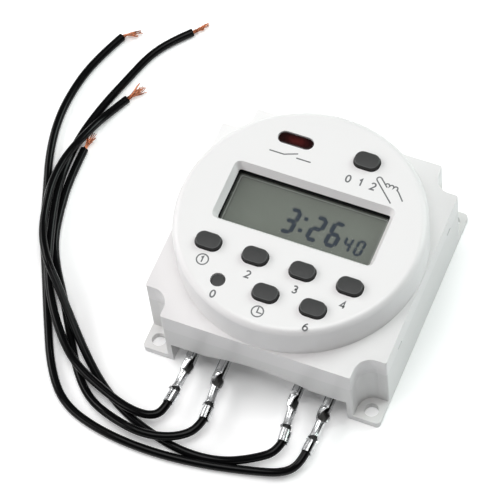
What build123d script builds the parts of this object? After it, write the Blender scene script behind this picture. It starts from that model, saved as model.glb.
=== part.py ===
from build123d import *
from math import radians, sqrt, tan
import os

# Digital timer switch: a square case with a round raised face, a display window, a status lamp
# and eight keys, fed by four crimped leads pushed on spade tabs.
# Millimetres. +Z comes out of the face, +Y runs from the terminals to the lamp, and the origin
# is the middle of the underside.

# Case
case_side = 60.0
case_corner_r = 1.0
case_edge_r = 0.5
wall = 2.0
floor_t = 2.0
seam_z = 14.9
shoulder_z = 21.0
face_z = 30.6
face_margin = 0.2
face_edge_r = 1.7

# Corner pockets and ears
ear_t = 2.0
ear_hole_d = 3.4
ear_hole_inset = 3.0
pocket_side = 6.4
pocket_r = 4.0

# Terminal recess
recess_depth = 10.0
recess_side_h = 7.8
recess_mid_h = 10.1
recess_arch_w = 26.0
recess_wall = 1.5

# Seam tongue, snap hooks and pry slits
tongue_t = 0.95
tongue_h = 1.5
seam_gap = 0.05
hook_w = 3.6
hook_h = 3.5
hook_catch = 0.35
hook_catch_z = 2.0
hook_side_gap = 0.2
hook_y = 16.0
slit_w = 2.2
slit_h = 0.7
slit_shift = 0.8

# Display
window_h = 14.0
window_rim_gap = 9.5
window_drop = 1.475
window_corner_r = 0.6
bezel_out = 1.15
bezel_corner_r = 1.6
window_t = 1.6
window_lap = 1.8
glass_lap_w = 1.9
glass_lap_h = 1.2
glass_t = 2.2
frame_wall = 1.0
cavity_inset_w = 0.4
cavity_inset_h = 0.8
display_gap = 0.1
strip_lap = 0.1
strip_t = 1.2
strip_inset = 0.2

# Status lamp
lamp_x = -8.9
lamp_rim_gap = 10.15
lamp_w = 8.8
lamp_h = 3.3
lamp_sink = 0.3
lamp_gap = 0.05
lamp_flange = 0.9
lamp_flange_t = 1.4
led_d = 3.0
led_lift = 2.2
led_h = 5.2
led_rim_d = 3.8
led_rim_t = 0.8
led_leg = 0.5
led_dome = 0.8
led_pitch = 1.27

# Keys
key_w = 6.25
key_h = 4.35
key_corner_r = 1.95
key_proud = 1.2
key_draft = 6.0
key_crown_r = 30.0
key_edge = 0.3
key_gap = 0.15
key_flange = 0.5
key_flange_t = 1.1
key_flange_corner = 1.7
key_hang = 0.2
key_stem_side = 2.4
key_travel = 0.5
reset_d = 3.3
reset_sink = 0.2
reset_edge = 0.3
reset_drop = 0.3
lower_row_rim_gap = 9.0
row_step = 8.2
row_end_gap = 9.5
row_x = -0.2
manual_x = 8.95
manual_rim_gap = 10.05

# Push switches
switch_side = 4.5
switch_h = 3.3
switch_base = 0.5
switch_edge = 0.3
plunger_d = 2.4
plunger_gap = 0.05
plunger_reach = 6.0
plunger_lift = 0.1

# Boards, posts and standoffs
board_t = 1.6
board_gap = 0.3
post_side = 3.6
post_wall_gap = 2.4
post_y = 12.0
power_side_gap = 4.6
power_back_gap = 1.6
power_front_gap = 0.9
power_z = 4.0
power_corner = 1.0
standoff_side = 3.6
standoff_side_in = 4.4
standoff_end_in = 4.0

# Spade tabs
tab_t = 0.8
tab_w = 4.8
tab_z = 3.8
tab_out = 9.0
tab_bevel = 0.8
tab_hole_d = 1.4
tab_hole_back = 4.0
tab_foot = 6.0
tab_foot_h = 3.4
tab_foot_gap = 0.3
tab_inner_x = 9.4
tab_outer_x = 17.35
tab_slot_gap = 0.05

# Crimped receptacles
sheet = 0.4
spade_w = 6.2
spade_l = 7.6
spade_start = 3.2
spade_gap = 0.05
spade_mouth = 2.6
neck_l = 2.6
neck_w = 1.8
crimp_d = 2.3
crimp_l = 3.8
crimp_groove = 0.45
grip_step = 1.3
grip_l = 3.1
grip_gap = 0.03
grip_slit = 0.5
push_back = (0.9, 2.0, 1.2, 1.8)

# Leads
lead_d = 2.06
lead_grip = 2.7
lead_bend = 2.3
lead_rest_gap = 0.02
lead_cross_gap = 0.1
lead_hump_lift = 0.3
lead_sides = 8
bend_share = 0.45
bare_d = 1.3
bare_tip_d = 0.9
bare_l = 4.8

# Inner parts. Round ones that nothing shows are made with twelve sides
round_sides = 12
part_gap = 0.9
part_edge = 0.5
relay_size = (20.4, 15.6, 11.3)
relay_side_gap = 1.2
relay_back_gap = 3.0
film_size = (15.5, 8.0, 11.0)
film_side_gap = 2.9
film_back_gap = 1.6
filter_d = 8.0
filter_h = 11.0
varistor_d = 8.0
varistor_t = 4.0
varistor_lift = 1.0
varistor_side_gap = 1.2
resistor_d = 3.2
resistor_l = 9.0
resistor_side_gap = 6.9
diode_d = 2.6
diode_l = 5.2
diode_pitch = 3.4
diode_side_gap = 5.3
axial_lift = 0.5
wire_side = 0.6
wire_reach = 1.2
cell_d = 11.5
cell_t = 5.4
cell_side_gap = 7.45
cell_front_gap = 3.35
link_pins = 5
link_pitch = 2.54
link_pin = 0.64
link_base_h = 2.5
link_x = -1.5
chip_side = 10.0
chip_t = 1.4
crystal_d = 2.0
crystal_l = 6.0
crystal_x = 0.4

# Heights that follow from the sizes above
face_under = face_z - wall
shoulder_under = shoulder_z - wall
control_top = shoulder_under
control_under = control_top - board_t
power_top = power_z + board_t
key_top = face_z + key_proud
flange_top = face_under - key_hang
flange_under = flange_top - key_flange_t
plunger_top = control_top + plunger_reach
plunger_under = control_top + switch_base + key_travel + plunger_lift
window_under = face_under - window_t
glass_top = window_under - display_gap
glass_under = glass_top - glass_t

# Case
half = case_side / 2
face_r = half - face_margin
ear_hole_place = half - ear_hole_inset
tongue_inset = wall - tongue_t
rebate_inset = tongue_inset - seam_gap
recess_w = case_side - 2 * (pocket_side + recess_wall)
recess_back_y = -half + recess_depth
recess_inner_y = recess_back_y + recess_wall

# Rows of keys, the lamp and the window, set out from the rim of the face
lower_row_y = lower_row_rim_gap - face_r
upper_row_y = lower_row_y + row_step
row_pitch = (sqrt(face_r ** 2 - upper_row_y ** 2) - row_end_gap) / 1.5
manual_y = face_r - manual_rim_gap
lamp_y = face_r - lamp_rim_gap
window_y = (upper_row_y + lamp_y) / 2 - window_drop
window_w = 2 * (sqrt(face_r ** 2 - (window_y + window_h / 2) ** 2) - window_rim_gap)
glass_w = window_w + 2 * glass_lap_w
glass_h = window_h + 2 * glass_lap_h
strip_w = window_w + 2 * strip_lap

# Boards, and the parts on the power board from its back edge forward
board_side = half - wall
post_x = board_side - post_wall_gap
power_w = 2 * (board_side - power_side_gap)
power_side = power_w / 2
power_back_y = board_side - power_back_gap
power_front_y = recess_inner_y + power_front_gap
power_h = power_back_y - power_front_y
power_y = (power_back_y + power_front_y) / 2
standoff_x = power_side - standoff_side_in
standoff_y = power_h / 2 - standoff_end_in
relay_place = (
    relay_side_gap + relay_size[0] / 2 - power_side,
    power_back_y - relay_back_gap - relay_size[1] / 2,
)
film_place = (
    power_side - film_side_gap - film_size[0] / 2,
    power_back_y - film_back_gap - film_size[1] / 2,
)
film_front_y = film_place[1] - film_size[1] / 2
filter_place = (
    relay_place[0] + relay_size[0] / 2 + part_gap + filter_d / 2,
    film_front_y - part_gap - filter_d / 2,
)
varistor_place = (power_side - varistor_side_gap - varistor_d / 2, film_front_y - part_gap - varistor_t / 2)
resistor_y = filter_place[1] - filter_d / 2 - part_gap - resistor_d / 2
resistor_place = (power_side - resistor_side_gap - resistor_l / 2, resistor_y)
diode_y = resistor_y - resistor_d / 2 - part_gap - wire_reach - diode_l / 2
diode_end_x = power_side - diode_side_gap - diode_d / 2
diode_places = [(diode_end_x - diode_pitch * n, diode_y) for n in range(4)]
link_l = link_pins * link_pitch
link_place = (link_x, relay_place[1] - relay_size[1] / 2 - part_gap - link_l / 2)
cell_place = (cell_side_gap + cell_d / 2 - board_side, recess_inner_y + cell_front_gap + cell_d / 2)
crystal_place = (crystal_x, lamp_y)

# Spade tabs and leads
tab_step_y = power_front_y - tab_foot_gap
tab_xs = (-tab_outer_x, -tab_inner_x, tab_inner_x, tab_outer_x)
lead_r = lead_d / 2

# Oval keys by name, with the middle of each, then the round reset button
oval_places = {
    "manual_key": (manual_x, manual_y),
    "upper_key_1": (row_x - 1.5 * row_pitch, upper_row_y),
    "upper_key_2": (row_x - 0.5 * row_pitch, upper_row_y),
    "upper_key_3": (row_x + 0.5 * row_pitch, upper_row_y),
    "upper_key_4": (row_x + 1.5 * row_pitch, upper_row_y),
    "lower_key_1": (row_x, lower_row_y),
    "lower_key_2": (row_x + row_pitch, lower_row_y),
}
reset_place = (row_x - row_pitch, lower_row_y - reset_drop)
key_places = list(oval_places.values()) + [reset_place]

os.makedirs("parts", exist_ok=True)


def save(piece, name):
    piece.part.label = name
    export_step(piece.part, f"parts/{name}.step")


# The case seen from above: a square with its corner pockets cut out, inset from the outside
def case_outline(inset, edge_r=0.0):
    pocket = 2 * (pocket_side + inset)
    with BuildSketch(mode=Mode.PRIVATE) as shape:
        Rectangle(case_side - 2 * inset, case_side - 2 * inset)
        with GridLocations(case_side, case_side, 2, 2):
            RectangleRounded(pocket, pocket, pocket_r + inset, mode=Mode.SUBTRACT)
        if edge_r > 0:
            rim = half - inset - edge_r
            fillet([v for v in shape.vertices() if max(abs(v.X), abs(v.Y)) > rim], edge_r)
    return shape.sketch


outside = case_outline(0, case_edge_r)
inside = case_outline(wall)
tongue_outside = case_outline(tongue_inset)
rebate_outside = case_outline(rebate_inset)
board_outside = case_outline(wall + board_gap)


# Rear case: a tub with ears, legs, the terminal recess, board posts and snap hooks
with BuildPart() as rear_case:
    with BuildSketch():
        add(outside)
    extrude(amount=seam_z)
    with BuildSketch():
        RectangleRounded(case_side, case_side, case_corner_r)
    extrude(amount=ear_t)
    with BuildSketch(Plane.XY.offset(floor_t)):
        add(inside)
    extrude(amount=seam_z - floor_t, mode=Mode.SUBTRACT)
    with BuildSketch(Plane.XY.offset(seam_z)):
        add(tongue_outside)
        add(inside, mode=Mode.SUBTRACT)
    extrude(amount=tongue_h)
    # Housing of the terminal recess, and the recess itself, open below and in front
    with BuildSketch():
        with Locations((0, -half + wall / 2 + (recess_depth + recess_wall - wall / 2) / 2)):
            Rectangle(recess_w + 2 * recess_wall, recess_depth + recess_wall - wall / 2)
    extrude(amount=recess_mid_h + recess_wall)
    # Seen from the front the recess has level sides and an arched middle
    recess_side = recess_w / 2
    arch_side = recess_arch_w / 2
    with BuildSketch(Plane.XZ.offset(half)):
        with BuildLine():
            Polyline(
                (-arch_side, recess_side_h),
                (-recess_side, recess_side_h),
                (-recess_side, 0),
                (recess_side, 0),
                (recess_side, recess_side_h),
                (arch_side, recess_side_h),
            )
            ThreePointArc((arch_side, recess_side_h), (0, recess_mid_h), (-arch_side, recess_side_h))
        make_face()
    extrude(amount=-recess_depth, mode=Mode.SUBTRACT)
    # Slots that the spade tabs pass through, on into the floor
    with BuildSketch(Plane.XZ.offset(-recess_back_y)):
        with Locations(*[(x, tab_z) for x in tab_xs]):
            Rectangle(tab_t + 2 * tab_slot_gap, tab_w + 2 * tab_slot_gap)
    extrude(amount=recess_back_y - tab_step_y - tab_slot_gap, mode=Mode.SUBTRACT)
    # Posts under the control board and standoffs under the power board
    with BuildSketch(Plane.XY.offset(floor_t)):
        with GridLocations(2 * post_x, 2 * post_y, 2, 2):
            Rectangle(post_side, post_side)
    extrude(amount=control_under - floor_t)
    with BuildSketch(Plane.XY.offset(floor_t)):
        with Locations((0, power_y)):
            with GridLocations(2 * standoff_x, 2 * standoff_y, 2, 2):
                Rectangle(standoff_side, standoff_side)
    extrude(amount=power_z - floor_t)
    # Snap hooks on the two side walls
    hook_in = half - wall
    hook_out = half - tongue_inset
    for side in (-1, 1):
        for y in (-hook_y, hook_y):
            with BuildSketch(Plane.XZ.offset(-y - hook_w / 2)):
                with BuildLine():
                    Polyline(
                        (side * hook_in, seam_z),
                        (side * hook_out, seam_z),
                        (side * hook_out, seam_z + hook_catch_z),
                        (side * (hook_out + hook_catch), seam_z + hook_catch_z),
                        (side * (hook_out + hook_catch), seam_z + hook_catch_z + hook_catch),
                        (side * (hook_out - hook_catch), seam_z + hook_h),
                        (side * hook_in, seam_z + hook_h),
                        close=True,
                    )
                make_face()
            extrude(amount=hook_w)
    with BuildSketch():
        with GridLocations(2 * ear_hole_place, 2 * ear_hole_place, 2, 2):
            Circle(ear_hole_d / 2)
    extrude(amount=ear_t, mode=Mode.SUBTRACT)

save(rear_case, "rear_case")

# Front cover: upper side walls, shoulder and the round raised face with its openings
with BuildPart() as front_cover:
    with BuildSketch(Plane.XY.offset(seam_z)):
        add(outside)
    extrude(amount=shoulder_z - seam_z)
    with BuildSketch(Plane.XY.offset(shoulder_under)):
        Circle(face_r)
    extrude(amount=face_z - shoulder_under)
    fillet(front_cover.faces().sort_by(Axis.Z)[-1].edges(), face_edge_r)
    with BuildSketch(Plane.XY.offset(seam_z)):
        add(inside)
    extrude(amount=shoulder_under - seam_z, mode=Mode.SUBTRACT)
    with BuildSketch(Plane.XY.offset(shoulder_under)):
        Circle(face_r - wall)
    extrude(amount=face_under - shoulder_under, mode=Mode.SUBTRACT)
    # Display opening with its sloped bezel
    with BuildSketch(Plane.XY.offset(face_z)):
        with Locations((0, window_y)):
            RectangleRounded(window_w + 2 * bezel_out, window_h + 2 * bezel_out, bezel_corner_r)
    with BuildSketch(Plane.XY.offset(face_under)):
        with Locations((0, window_y)):
            RectangleRounded(window_w, window_h, window_corner_r)
    loft(mode=Mode.SUBTRACT)
    # Openings for the lamp, the oval keys and the reset button
    with BuildSketch(Plane.XY.offset(face_under)):
        with Locations((lamp_x, lamp_y)):
            SlotOverall(lamp_w + 2 * lamp_gap, lamp_h + 2 * lamp_gap)
        with Locations(*oval_places.values()):
            RectangleRounded(key_w + 2 * key_gap, key_h + 2 * key_gap, key_corner_r + key_gap)
        with Locations(reset_place):
            Circle(reset_d / 2 + key_gap)
    extrude(amount=wall, mode=Mode.SUBTRACT)
    # Rebate that takes the tongue, pockets that take the snap hooks, and the pry slits
    with BuildSketch(Plane.XY.offset(seam_z)):
        add(rebate_outside)
    extrude(amount=tongue_h + seam_gap, mode=Mode.SUBTRACT)
    rebate_x = half - rebate_inset
    for side in (-1, 1):
        for y in (-hook_y, hook_y):
            with BuildSketch(Plane.XZ.offset(-y - hook_w / 2 - hook_side_gap)):
                with BuildLine():
                    Polyline(
                        (side * hook_in, seam_z),
                        (side * rebate_x, seam_z),
                        (side * rebate_x, seam_z + hook_catch_z - seam_gap),
                        (side * (rebate_x + hook_catch), seam_z + hook_catch_z - seam_gap),
                        (side * (rebate_x + hook_catch), seam_z + hook_h + seam_gap),
                        (side * hook_in, seam_z + hook_h + seam_gap),
                        close=True,
                    )
                make_face()
            extrude(amount=hook_w + 2 * hook_side_gap, mode=Mode.SUBTRACT)
            with BuildSketch(Plane.XY.offset(seam_z)):
                with Locations((side * (half - rebate_inset / 2), y + slit_shift)):
                    Rectangle(rebate_inset, slit_w)
            extrude(amount=slit_h, mode=Mode.SUBTRACT)

save(front_cover, "front_cover")

# Display window, seated against the underside of the face
with BuildPart() as display_window:
    with BuildSketch(Plane.XY.offset(window_under)):
        with Locations((0, window_y)):
            RectangleRounded(window_w + 2 * window_lap, window_h + 2 * window_lap, bezel_corner_r)
    extrude(amount=window_t)

save(display_window, "display_window")

# Display glass
with BuildPart() as display_glass:
    with BuildSketch(Plane.XY.offset(glass_under)):
        with Locations((0, window_y)):
            Rectangle(glass_w, glass_h)
    extrude(amount=glass_t)

save(display_glass, "display_glass")

# Frame that stands on the control board, holds the glass and guides the contact strip
pocket_w = glass_w + 2 * display_gap
pocket_h = glass_h + 2 * display_gap
strip_y = window_y - glass_h / 2 + strip_inset + strip_t / 2
with BuildPart() as display_frame:
    with BuildSketch(Plane.XY.offset(control_top)):
        with Locations((0, window_y)):
            RectangleRounded(pocket_w + 2 * frame_wall, pocket_h + 2 * frame_wall, frame_wall)
            Rectangle(window_w - 2 * cavity_inset_w, window_h - 2 * cavity_inset_h, mode=Mode.SUBTRACT)
        with Locations((0, strip_y)):
            Rectangle(strip_w + 2 * display_gap, strip_t + 2 * display_gap, mode=Mode.SUBTRACT)
    extrude(amount=glass_top - control_top)
    with BuildSketch(Plane.XY.offset(glass_under)):
        with Locations((0, window_y)):
            Rectangle(pocket_w, pocket_h)
    extrude(amount=glass_t, mode=Mode.SUBTRACT)

save(display_frame, "display_frame")

# Rubber contact strip between the control board and the glass
with BuildPart() as contact_strip:
    with BuildSketch(Plane.XY.offset(control_top)):
        with Locations((0, strip_y)):
            Rectangle(strip_w, strip_t)
    extrude(amount=glass_under - control_top)

save(contact_strip, "contact_strip")

# Lamp lens: a pill in the face with a flange behind it
with BuildPart() as lamp_lens:
    with BuildSketch(Plane.XY.offset(face_under - lamp_flange_t)):
        with Locations((lamp_x, lamp_y)):
            SlotOverall(lamp_w + 2 * lamp_flange, lamp_h + 2 * lamp_flange)
    extrude(amount=lamp_flange_t)
    with BuildSketch(Plane.XY.offset(face_under)):
        with Locations((lamp_x, lamp_y)):
            SlotOverall(lamp_w, lamp_h)
    extrude(amount=wall - lamp_sink)

save(lamp_lens, "lamp_lens")

# Status lamp: a body with a rounded-off top and a rim, on two legs
led_z = control_top + led_lift
with BuildPart() as status_lamp:
    with BuildSketch(Plane(origin=(lamp_x, lamp_y, 0), x_dir=(1, 0, 0), z_dir=(0, -1, 0))):
        with BuildLine():
            Polyline(
                (0, led_z + led_h),
                (0, led_z),
                (led_rim_d / 2, led_z),
                (led_rim_d / 2, led_z + led_rim_t),
                (led_d / 2, led_z + led_rim_t),
                (led_d / 2, led_z + led_h - led_dome),
                (led_d / 2 - led_dome, led_z + led_h),
                close=True,
            )
        make_face()
    revolve(axis=Axis((lamp_x, lamp_y, 0), (0, 0, 1)))
    with BuildSketch(Plane.XY.offset(control_top)):
        with Locations((lamp_x - led_pitch, lamp_y), (lamp_x + led_pitch, lamp_y)):
            Rectangle(led_leg, led_leg)
    extrude(amount=led_lift)

save(status_lamp, "status_lamp")


# Keys with crowned tops and eased rims. A side narrows upward once it is clear of the face. Each
# key has a flange that stops it below the face, and a stem that stands on its plunger
def key_outline(is_round, place, height, grow=0.0):
    with BuildSketch(Plane.XY.offset(height), mode=Mode.PRIVATE) as shape:
        with Locations(place):
            if is_round:
                Circle(reset_d / 2 + grow)
            else:
                RectangleRounded(key_w + 2 * grow, key_h + 2 * grow, key_corner_r + grow)
    return shape.sketch


for name, place in [*oval_places.items(), ("reset_button", reset_place)]:
    is_round = name == "reset_button"
    top = face_z - reset_sink if is_round else key_top
    edge = reset_edge if is_round else key_edge
    upright_top = min(face_z, top - edge)
    drafted = top - edge - upright_top
    with BuildPart() as key:
        add(key_outline(is_round, place, flange_under))
        extrude(amount=upright_top - flange_under)
        if drafted > 0:
            add(key_outline(is_round, place, upright_top))
            extrude(amount=drafted, taper=key_draft)
        add(key_outline(is_round, place, top - edge, -drafted * tan(radians(key_draft))))
        extrude(amount=edge, taper=45)
        with Locations((*place, top - key_crown_r)):
            Sphere(key_crown_r, mode=Mode.INTERSECT)
        with BuildSketch(Plane.XY.offset(flange_under)) as flange:
            with Locations(place):
                if is_round:
                    Circle(reset_d / 2 + key_flange)
                else:
                    Rectangle(key_w + 2 * key_flange, key_h + 2 * key_flange)
            if not is_round:
                chamfer(flange.vertices(), key_flange_corner)
        extrude(amount=key_flange_t)
        with BuildSketch(Plane.XY.offset(plunger_top)):
            with Locations(place):
                Rectangle(key_stem_side, key_stem_side)
        extrude(amount=flange_under - plunger_top)
    save(key, name)

# Plungers, one under each key, sliding in the push switches
for name, place in zip([*oval_places, "reset_button"], key_places):
    with BuildPart() as plunger:
        with BuildSketch(Plane.XY.offset(plunger_under)):
            with Locations(place):
                RegularPolygon(plunger_d / 2, round_sides)
        extrude(amount=plunger_top - plunger_under)
    save(plunger, f"{name}_plunger")

# Bodies of the eight push switches
with BuildPart() as push_switches:
    with BuildSketch(Plane.XY.offset(control_top)):
        with Locations(*key_places):
            Rectangle(switch_side, switch_side)
    extrude(amount=switch_h)
    chamfer(push_switches.faces().filter_by(Axis.Z).group_by(Axis.Z)[-1].edges(), switch_edge)
    with BuildSketch(Plane.XY.offset(control_top + switch_base)):
        with Locations(*key_places):
            RegularPolygon(plunger_d / 2 + plunger_gap, round_sides)
    extrude(amount=switch_h - switch_base, mode=Mode.SUBTRACT)

save(push_switches, "push_switches")

# Control board, trapped between the shoulder of the cover and the posts of the rear case
with BuildPart() as control_board:
    with BuildSketch(Plane.XY.offset(control_under)):
        add(board_outside)
    extrude(amount=board_t)

save(control_board, "control_board")

with BuildPart() as controller_chip:
    with BuildSketch(Plane.XY.offset(control_top)):
        with Locations((0, window_y)):
            Rectangle(chip_side, chip_side)
    extrude(amount=chip_t)
    chamfer(controller_chip.faces().sort_by(Axis.Z)[-1].edges(), switch_edge)

save(controller_chip, "controller_chip")

# Watch crystal, a small can lying on the control board
with BuildPart() as watch_crystal:
    crystal_end = crystal_place[0] - crystal_l / 2
    with BuildSketch(Plane.YZ.offset(crystal_end)):
        with Locations((crystal_place[1], control_top + crystal_d / 2)):
            RegularPolygon(crystal_d / 2, round_sides)
    extrude(amount=crystal_l)

save(watch_crystal, "watch_crystal")

# Backup cell under the control board
with BuildPart() as backup_cell:
    with BuildSketch(Plane.XY.offset(control_under - cell_t)):
        with Locations(cell_place):
            Circle(cell_d / 2)
    extrude(amount=cell_t)
    chamfer(backup_cell.edges().filter_by(GeomType.CIRCLE).sort_by(Axis.Z)[0], part_edge)

save(backup_cell, "backup_cell")

# Power board on its standoffs
with BuildPart() as power_board:
    with BuildSketch(Plane.XY.offset(power_z)):
        with Locations((0, power_y)):
            Rectangle(power_w, power_h)
        add(board_outside, mode=Mode.INTERSECT)
    extrude(amount=board_t)

save(power_board, "power_board")


# Boxed part with its upright and top edges eased, standing on the power board
def boxed_part(size, place, name):
    width, depth, height = size
    with BuildPart() as box:
        with BuildSketch(Plane.XY.offset(power_top)):
            with Locations(place):
                Rectangle(width, depth)
        extrude(amount=height)
        chamfer(box.edges().filter_by(Axis.Z), part_edge)
        chamfer(box.faces().sort_by(Axis.Z)[-1].edges(), part_edge / 2)
    save(box, name)


boxed_part(relay_size, relay_place, "relay")
boxed_part(film_size, film_place, "film_capacitor")

# Filter capacitor: an upright can
with BuildPart() as filter_capacitor:
    with BuildSketch(Plane.XY.offset(power_top)):
        with Locations(filter_place):
            Circle(filter_d / 2)
    extrude(amount=filter_h)
    chamfer(filter_capacitor.edges().filter_by(GeomType.CIRCLE).sort_by(Axis.Z)[-1], part_edge)

save(filter_capacitor, "filter_capacitor")

# Varistor: a disc standing on two legs
varistor_z = power_top + varistor_lift + varistor_d / 2
with BuildPart() as varistor:
    with BuildSketch(Plane.XZ.offset(-varistor_place[1] - varistor_t / 2)):
        with Locations((varistor_place[0], varistor_z)):
            Circle(varistor_d / 2)
    extrude(amount=varistor_t)
    chamfer(varistor.edges().filter_by(GeomType.CIRCLE), part_edge)
    with BuildSketch(Plane.XY.offset(power_top)):
        with Locations(varistor_place):
            with GridLocations(varistor_d / 2, 1, 2, 1):
                Rectangle(wire_side, wire_side)
    extrude(amount=varistor_z - power_top)

save(varistor, "varistor")


# Round parts lying along X or Y on bent wires, standing on the power board
def lying_parts(name, diameter, length, places, along):
    middle = power_top + axial_lift + diameter / 2
    reach = length / 2 + wire_reach
    with BuildPart() as lying:
        for x, y in places:
            start = Vector(x, y, middle)
            turned = Plane(origin=start, x_dir=(0, 0, 1), z_dir=along)
            with BuildSketch(turned.offset(-length / 2)):
                RegularPolygon(diameter / 2, round_sides)
            extrude(amount=length)
            with BuildSketch(turned.offset(-reach)):
                Rectangle(wire_side, wire_side)
            extrude(amount=2 * reach)
            for end in (-1, 1):
                foot = start + Vector(*along) * (end * (reach - wire_side / 2))
                with BuildSketch(Plane.XY.offset(power_top)):
                    with Locations((foot.X, foot.Y)):
                        Rectangle(wire_side, wire_side)
                extrude(amount=middle - power_top)
    save(lying, name)


lying_parts("dropper_resistor", resistor_d, resistor_l, [resistor_place], (1, 0, 0))
lying_parts("rectifier_diodes", diode_d, diode_l, diode_places, (0, 1, 0))

# Pin header between the two boards
with BuildPart() as board_link:
    with BuildSketch(Plane.XY.offset(power_top)):
        with Locations(link_place):
            Rectangle(link_pitch, link_l)
    extrude(amount=link_base_h)
    with BuildSketch(Plane.XY.offset(power_top)):
        with Locations(link_place):
            with GridLocations(1, link_pitch, 1, link_pins):
                Rectangle(link_pin, link_pin)
    extrude(amount=control_under - power_top)

save(board_link, "board_link")

# Spade tabs: a blade in the recess that steps up behind the wall to a foot on the power board
blade_top = tab_z + tab_w / 2
blade_under = tab_z - tab_w / 2
tab_tip_y = recess_back_y - tab_out
tab_back_y = tab_step_y + tab_foot_gap + tab_foot
foot_top = power_top + tab_foot_h
for number, x in enumerate(tab_xs, start=1):
    with BuildPart() as spade_tab:
        with BuildSketch(Plane.YZ.offset(x - tab_t / 2)):
            with BuildLine():
                Polyline(
                    (tab_tip_y, blade_under + tab_bevel),
                    (tab_tip_y + tab_bevel, blade_under),
                    (tab_step_y, blade_under),
                    (tab_step_y, power_top),
                    (tab_back_y, power_top),
                    (tab_back_y, foot_top),
                    (recess_inner_y + tab_foot_gap, foot_top),
                    (recess_inner_y + tab_foot_gap, blade_top),
                    (tab_tip_y + tab_bevel, blade_top),
                    (tab_tip_y, blade_top - tab_bevel),
                    close=True,
                )
            make_face()
            with Locations((tab_tip_y + tab_hole_back, tab_z)):
                Circle(tab_hole_d / 2, mode=Mode.SUBTRACT)
        extrude(amount=tab_t)
    save(spade_tab, f"spade_tab_{number}")

# Across a receptacle, measured from the middle of its tab: the back of the sheet and the two axes
sheet_back = -(tab_t / 2 + spade_gap + sheet)
crimp_x = sheet_back + crimp_d / 2
grip_d = lead_d + 2 * (grip_gap + sheet)
grip_x = sheet_back + grip_d / 2
receptacle_l = spade_l + neck_l + crimp_l + grip_step + grip_l


def front_plane(x, y):
    return Plane(origin=(x, y, tab_z), x_dir=(1, 0, 0), z_dir=(0, -1, 0))


# Receptacles: rolled spade socket, neck, conductor crimp and insulation grip
spade_starts = [recess_back_y - spade_start - back for back in push_back]
for number, (x, start) in enumerate(zip(tab_xs, spade_starts), start=1):
    neck_y = start - spade_l
    crimp_y = neck_y - neck_l
    step_y = crimp_y - crimp_l
    grip_y = step_y - grip_step
    rolled_t = tab_t + 2 * (spade_gap + sheet)
    with BuildPart() as receptacle:
        with BuildSketch(front_plane(x, start)):
            SlotOverall(spade_w, rolled_t, rotation=90)
            SlotOverall(spade_w - 2 * sheet, rolled_t - 2 * sheet, rotation=90, mode=Mode.SUBTRACT)
            with Locations((rolled_t / 2, 0)):
                Rectangle(rolled_t, spade_mouth, mode=Mode.SUBTRACT)
        extrude(amount=spade_l)
        # Flat neck that narrows to a strip under the two barrels
        wide = spade_w / 2 - rolled_t / 2
        narrow = neck_w / 2
        with BuildSketch(Plane.YZ.offset(x + sheet_back)):
            with BuildLine():
                Polyline(
                    (neck_y + sheet, tab_z + wide),
                    (neck_y, tab_z + wide),
                    (crimp_y, tab_z + narrow),
                    (grip_y, tab_z + narrow),
                    (grip_y, tab_z - narrow),
                    (crimp_y, tab_z - narrow),
                    (neck_y, tab_z - wide),
                    (neck_y + sheet, tab_z - wide),
                    close=True,
                )
            make_face()
        extrude(amount=sheet)
        # Conductor crimp with the groove where its two wings meet
        with BuildSketch(front_plane(x + crimp_x, crimp_y)):
            Circle(crimp_d / 2)
            with Locations((crimp_d / 2, 0)):
                Rectangle(2 * crimp_groove, crimp_groove, rotation=45, mode=Mode.SUBTRACT)
        extrude(amount=crimp_l)
        # Insulation grip, a wrapped band with an open seam
        with BuildSketch(front_plane(x + grip_x, grip_y)):
            Circle(grip_d / 2)
            Circle(grip_d / 2 - sheet, mode=Mode.SUBTRACT)
            with Locations((grip_d / 2, 0)):
                Rectangle(2 * sheet + grip_gap, grip_slit, mode=Mode.SUBTRACT)
        extrude(amount=grip_l)
    save(receptacle, f"receptacle_{number}")

# Leads, eight-sided. A lead rests on the floor, over one other lead, or over two
rest_z = lead_r + lead_rest_gap
over_z = rest_z + lead_d + lead_cross_gap
two_over_z = over_z + lead_d + lead_cross_gap

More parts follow.
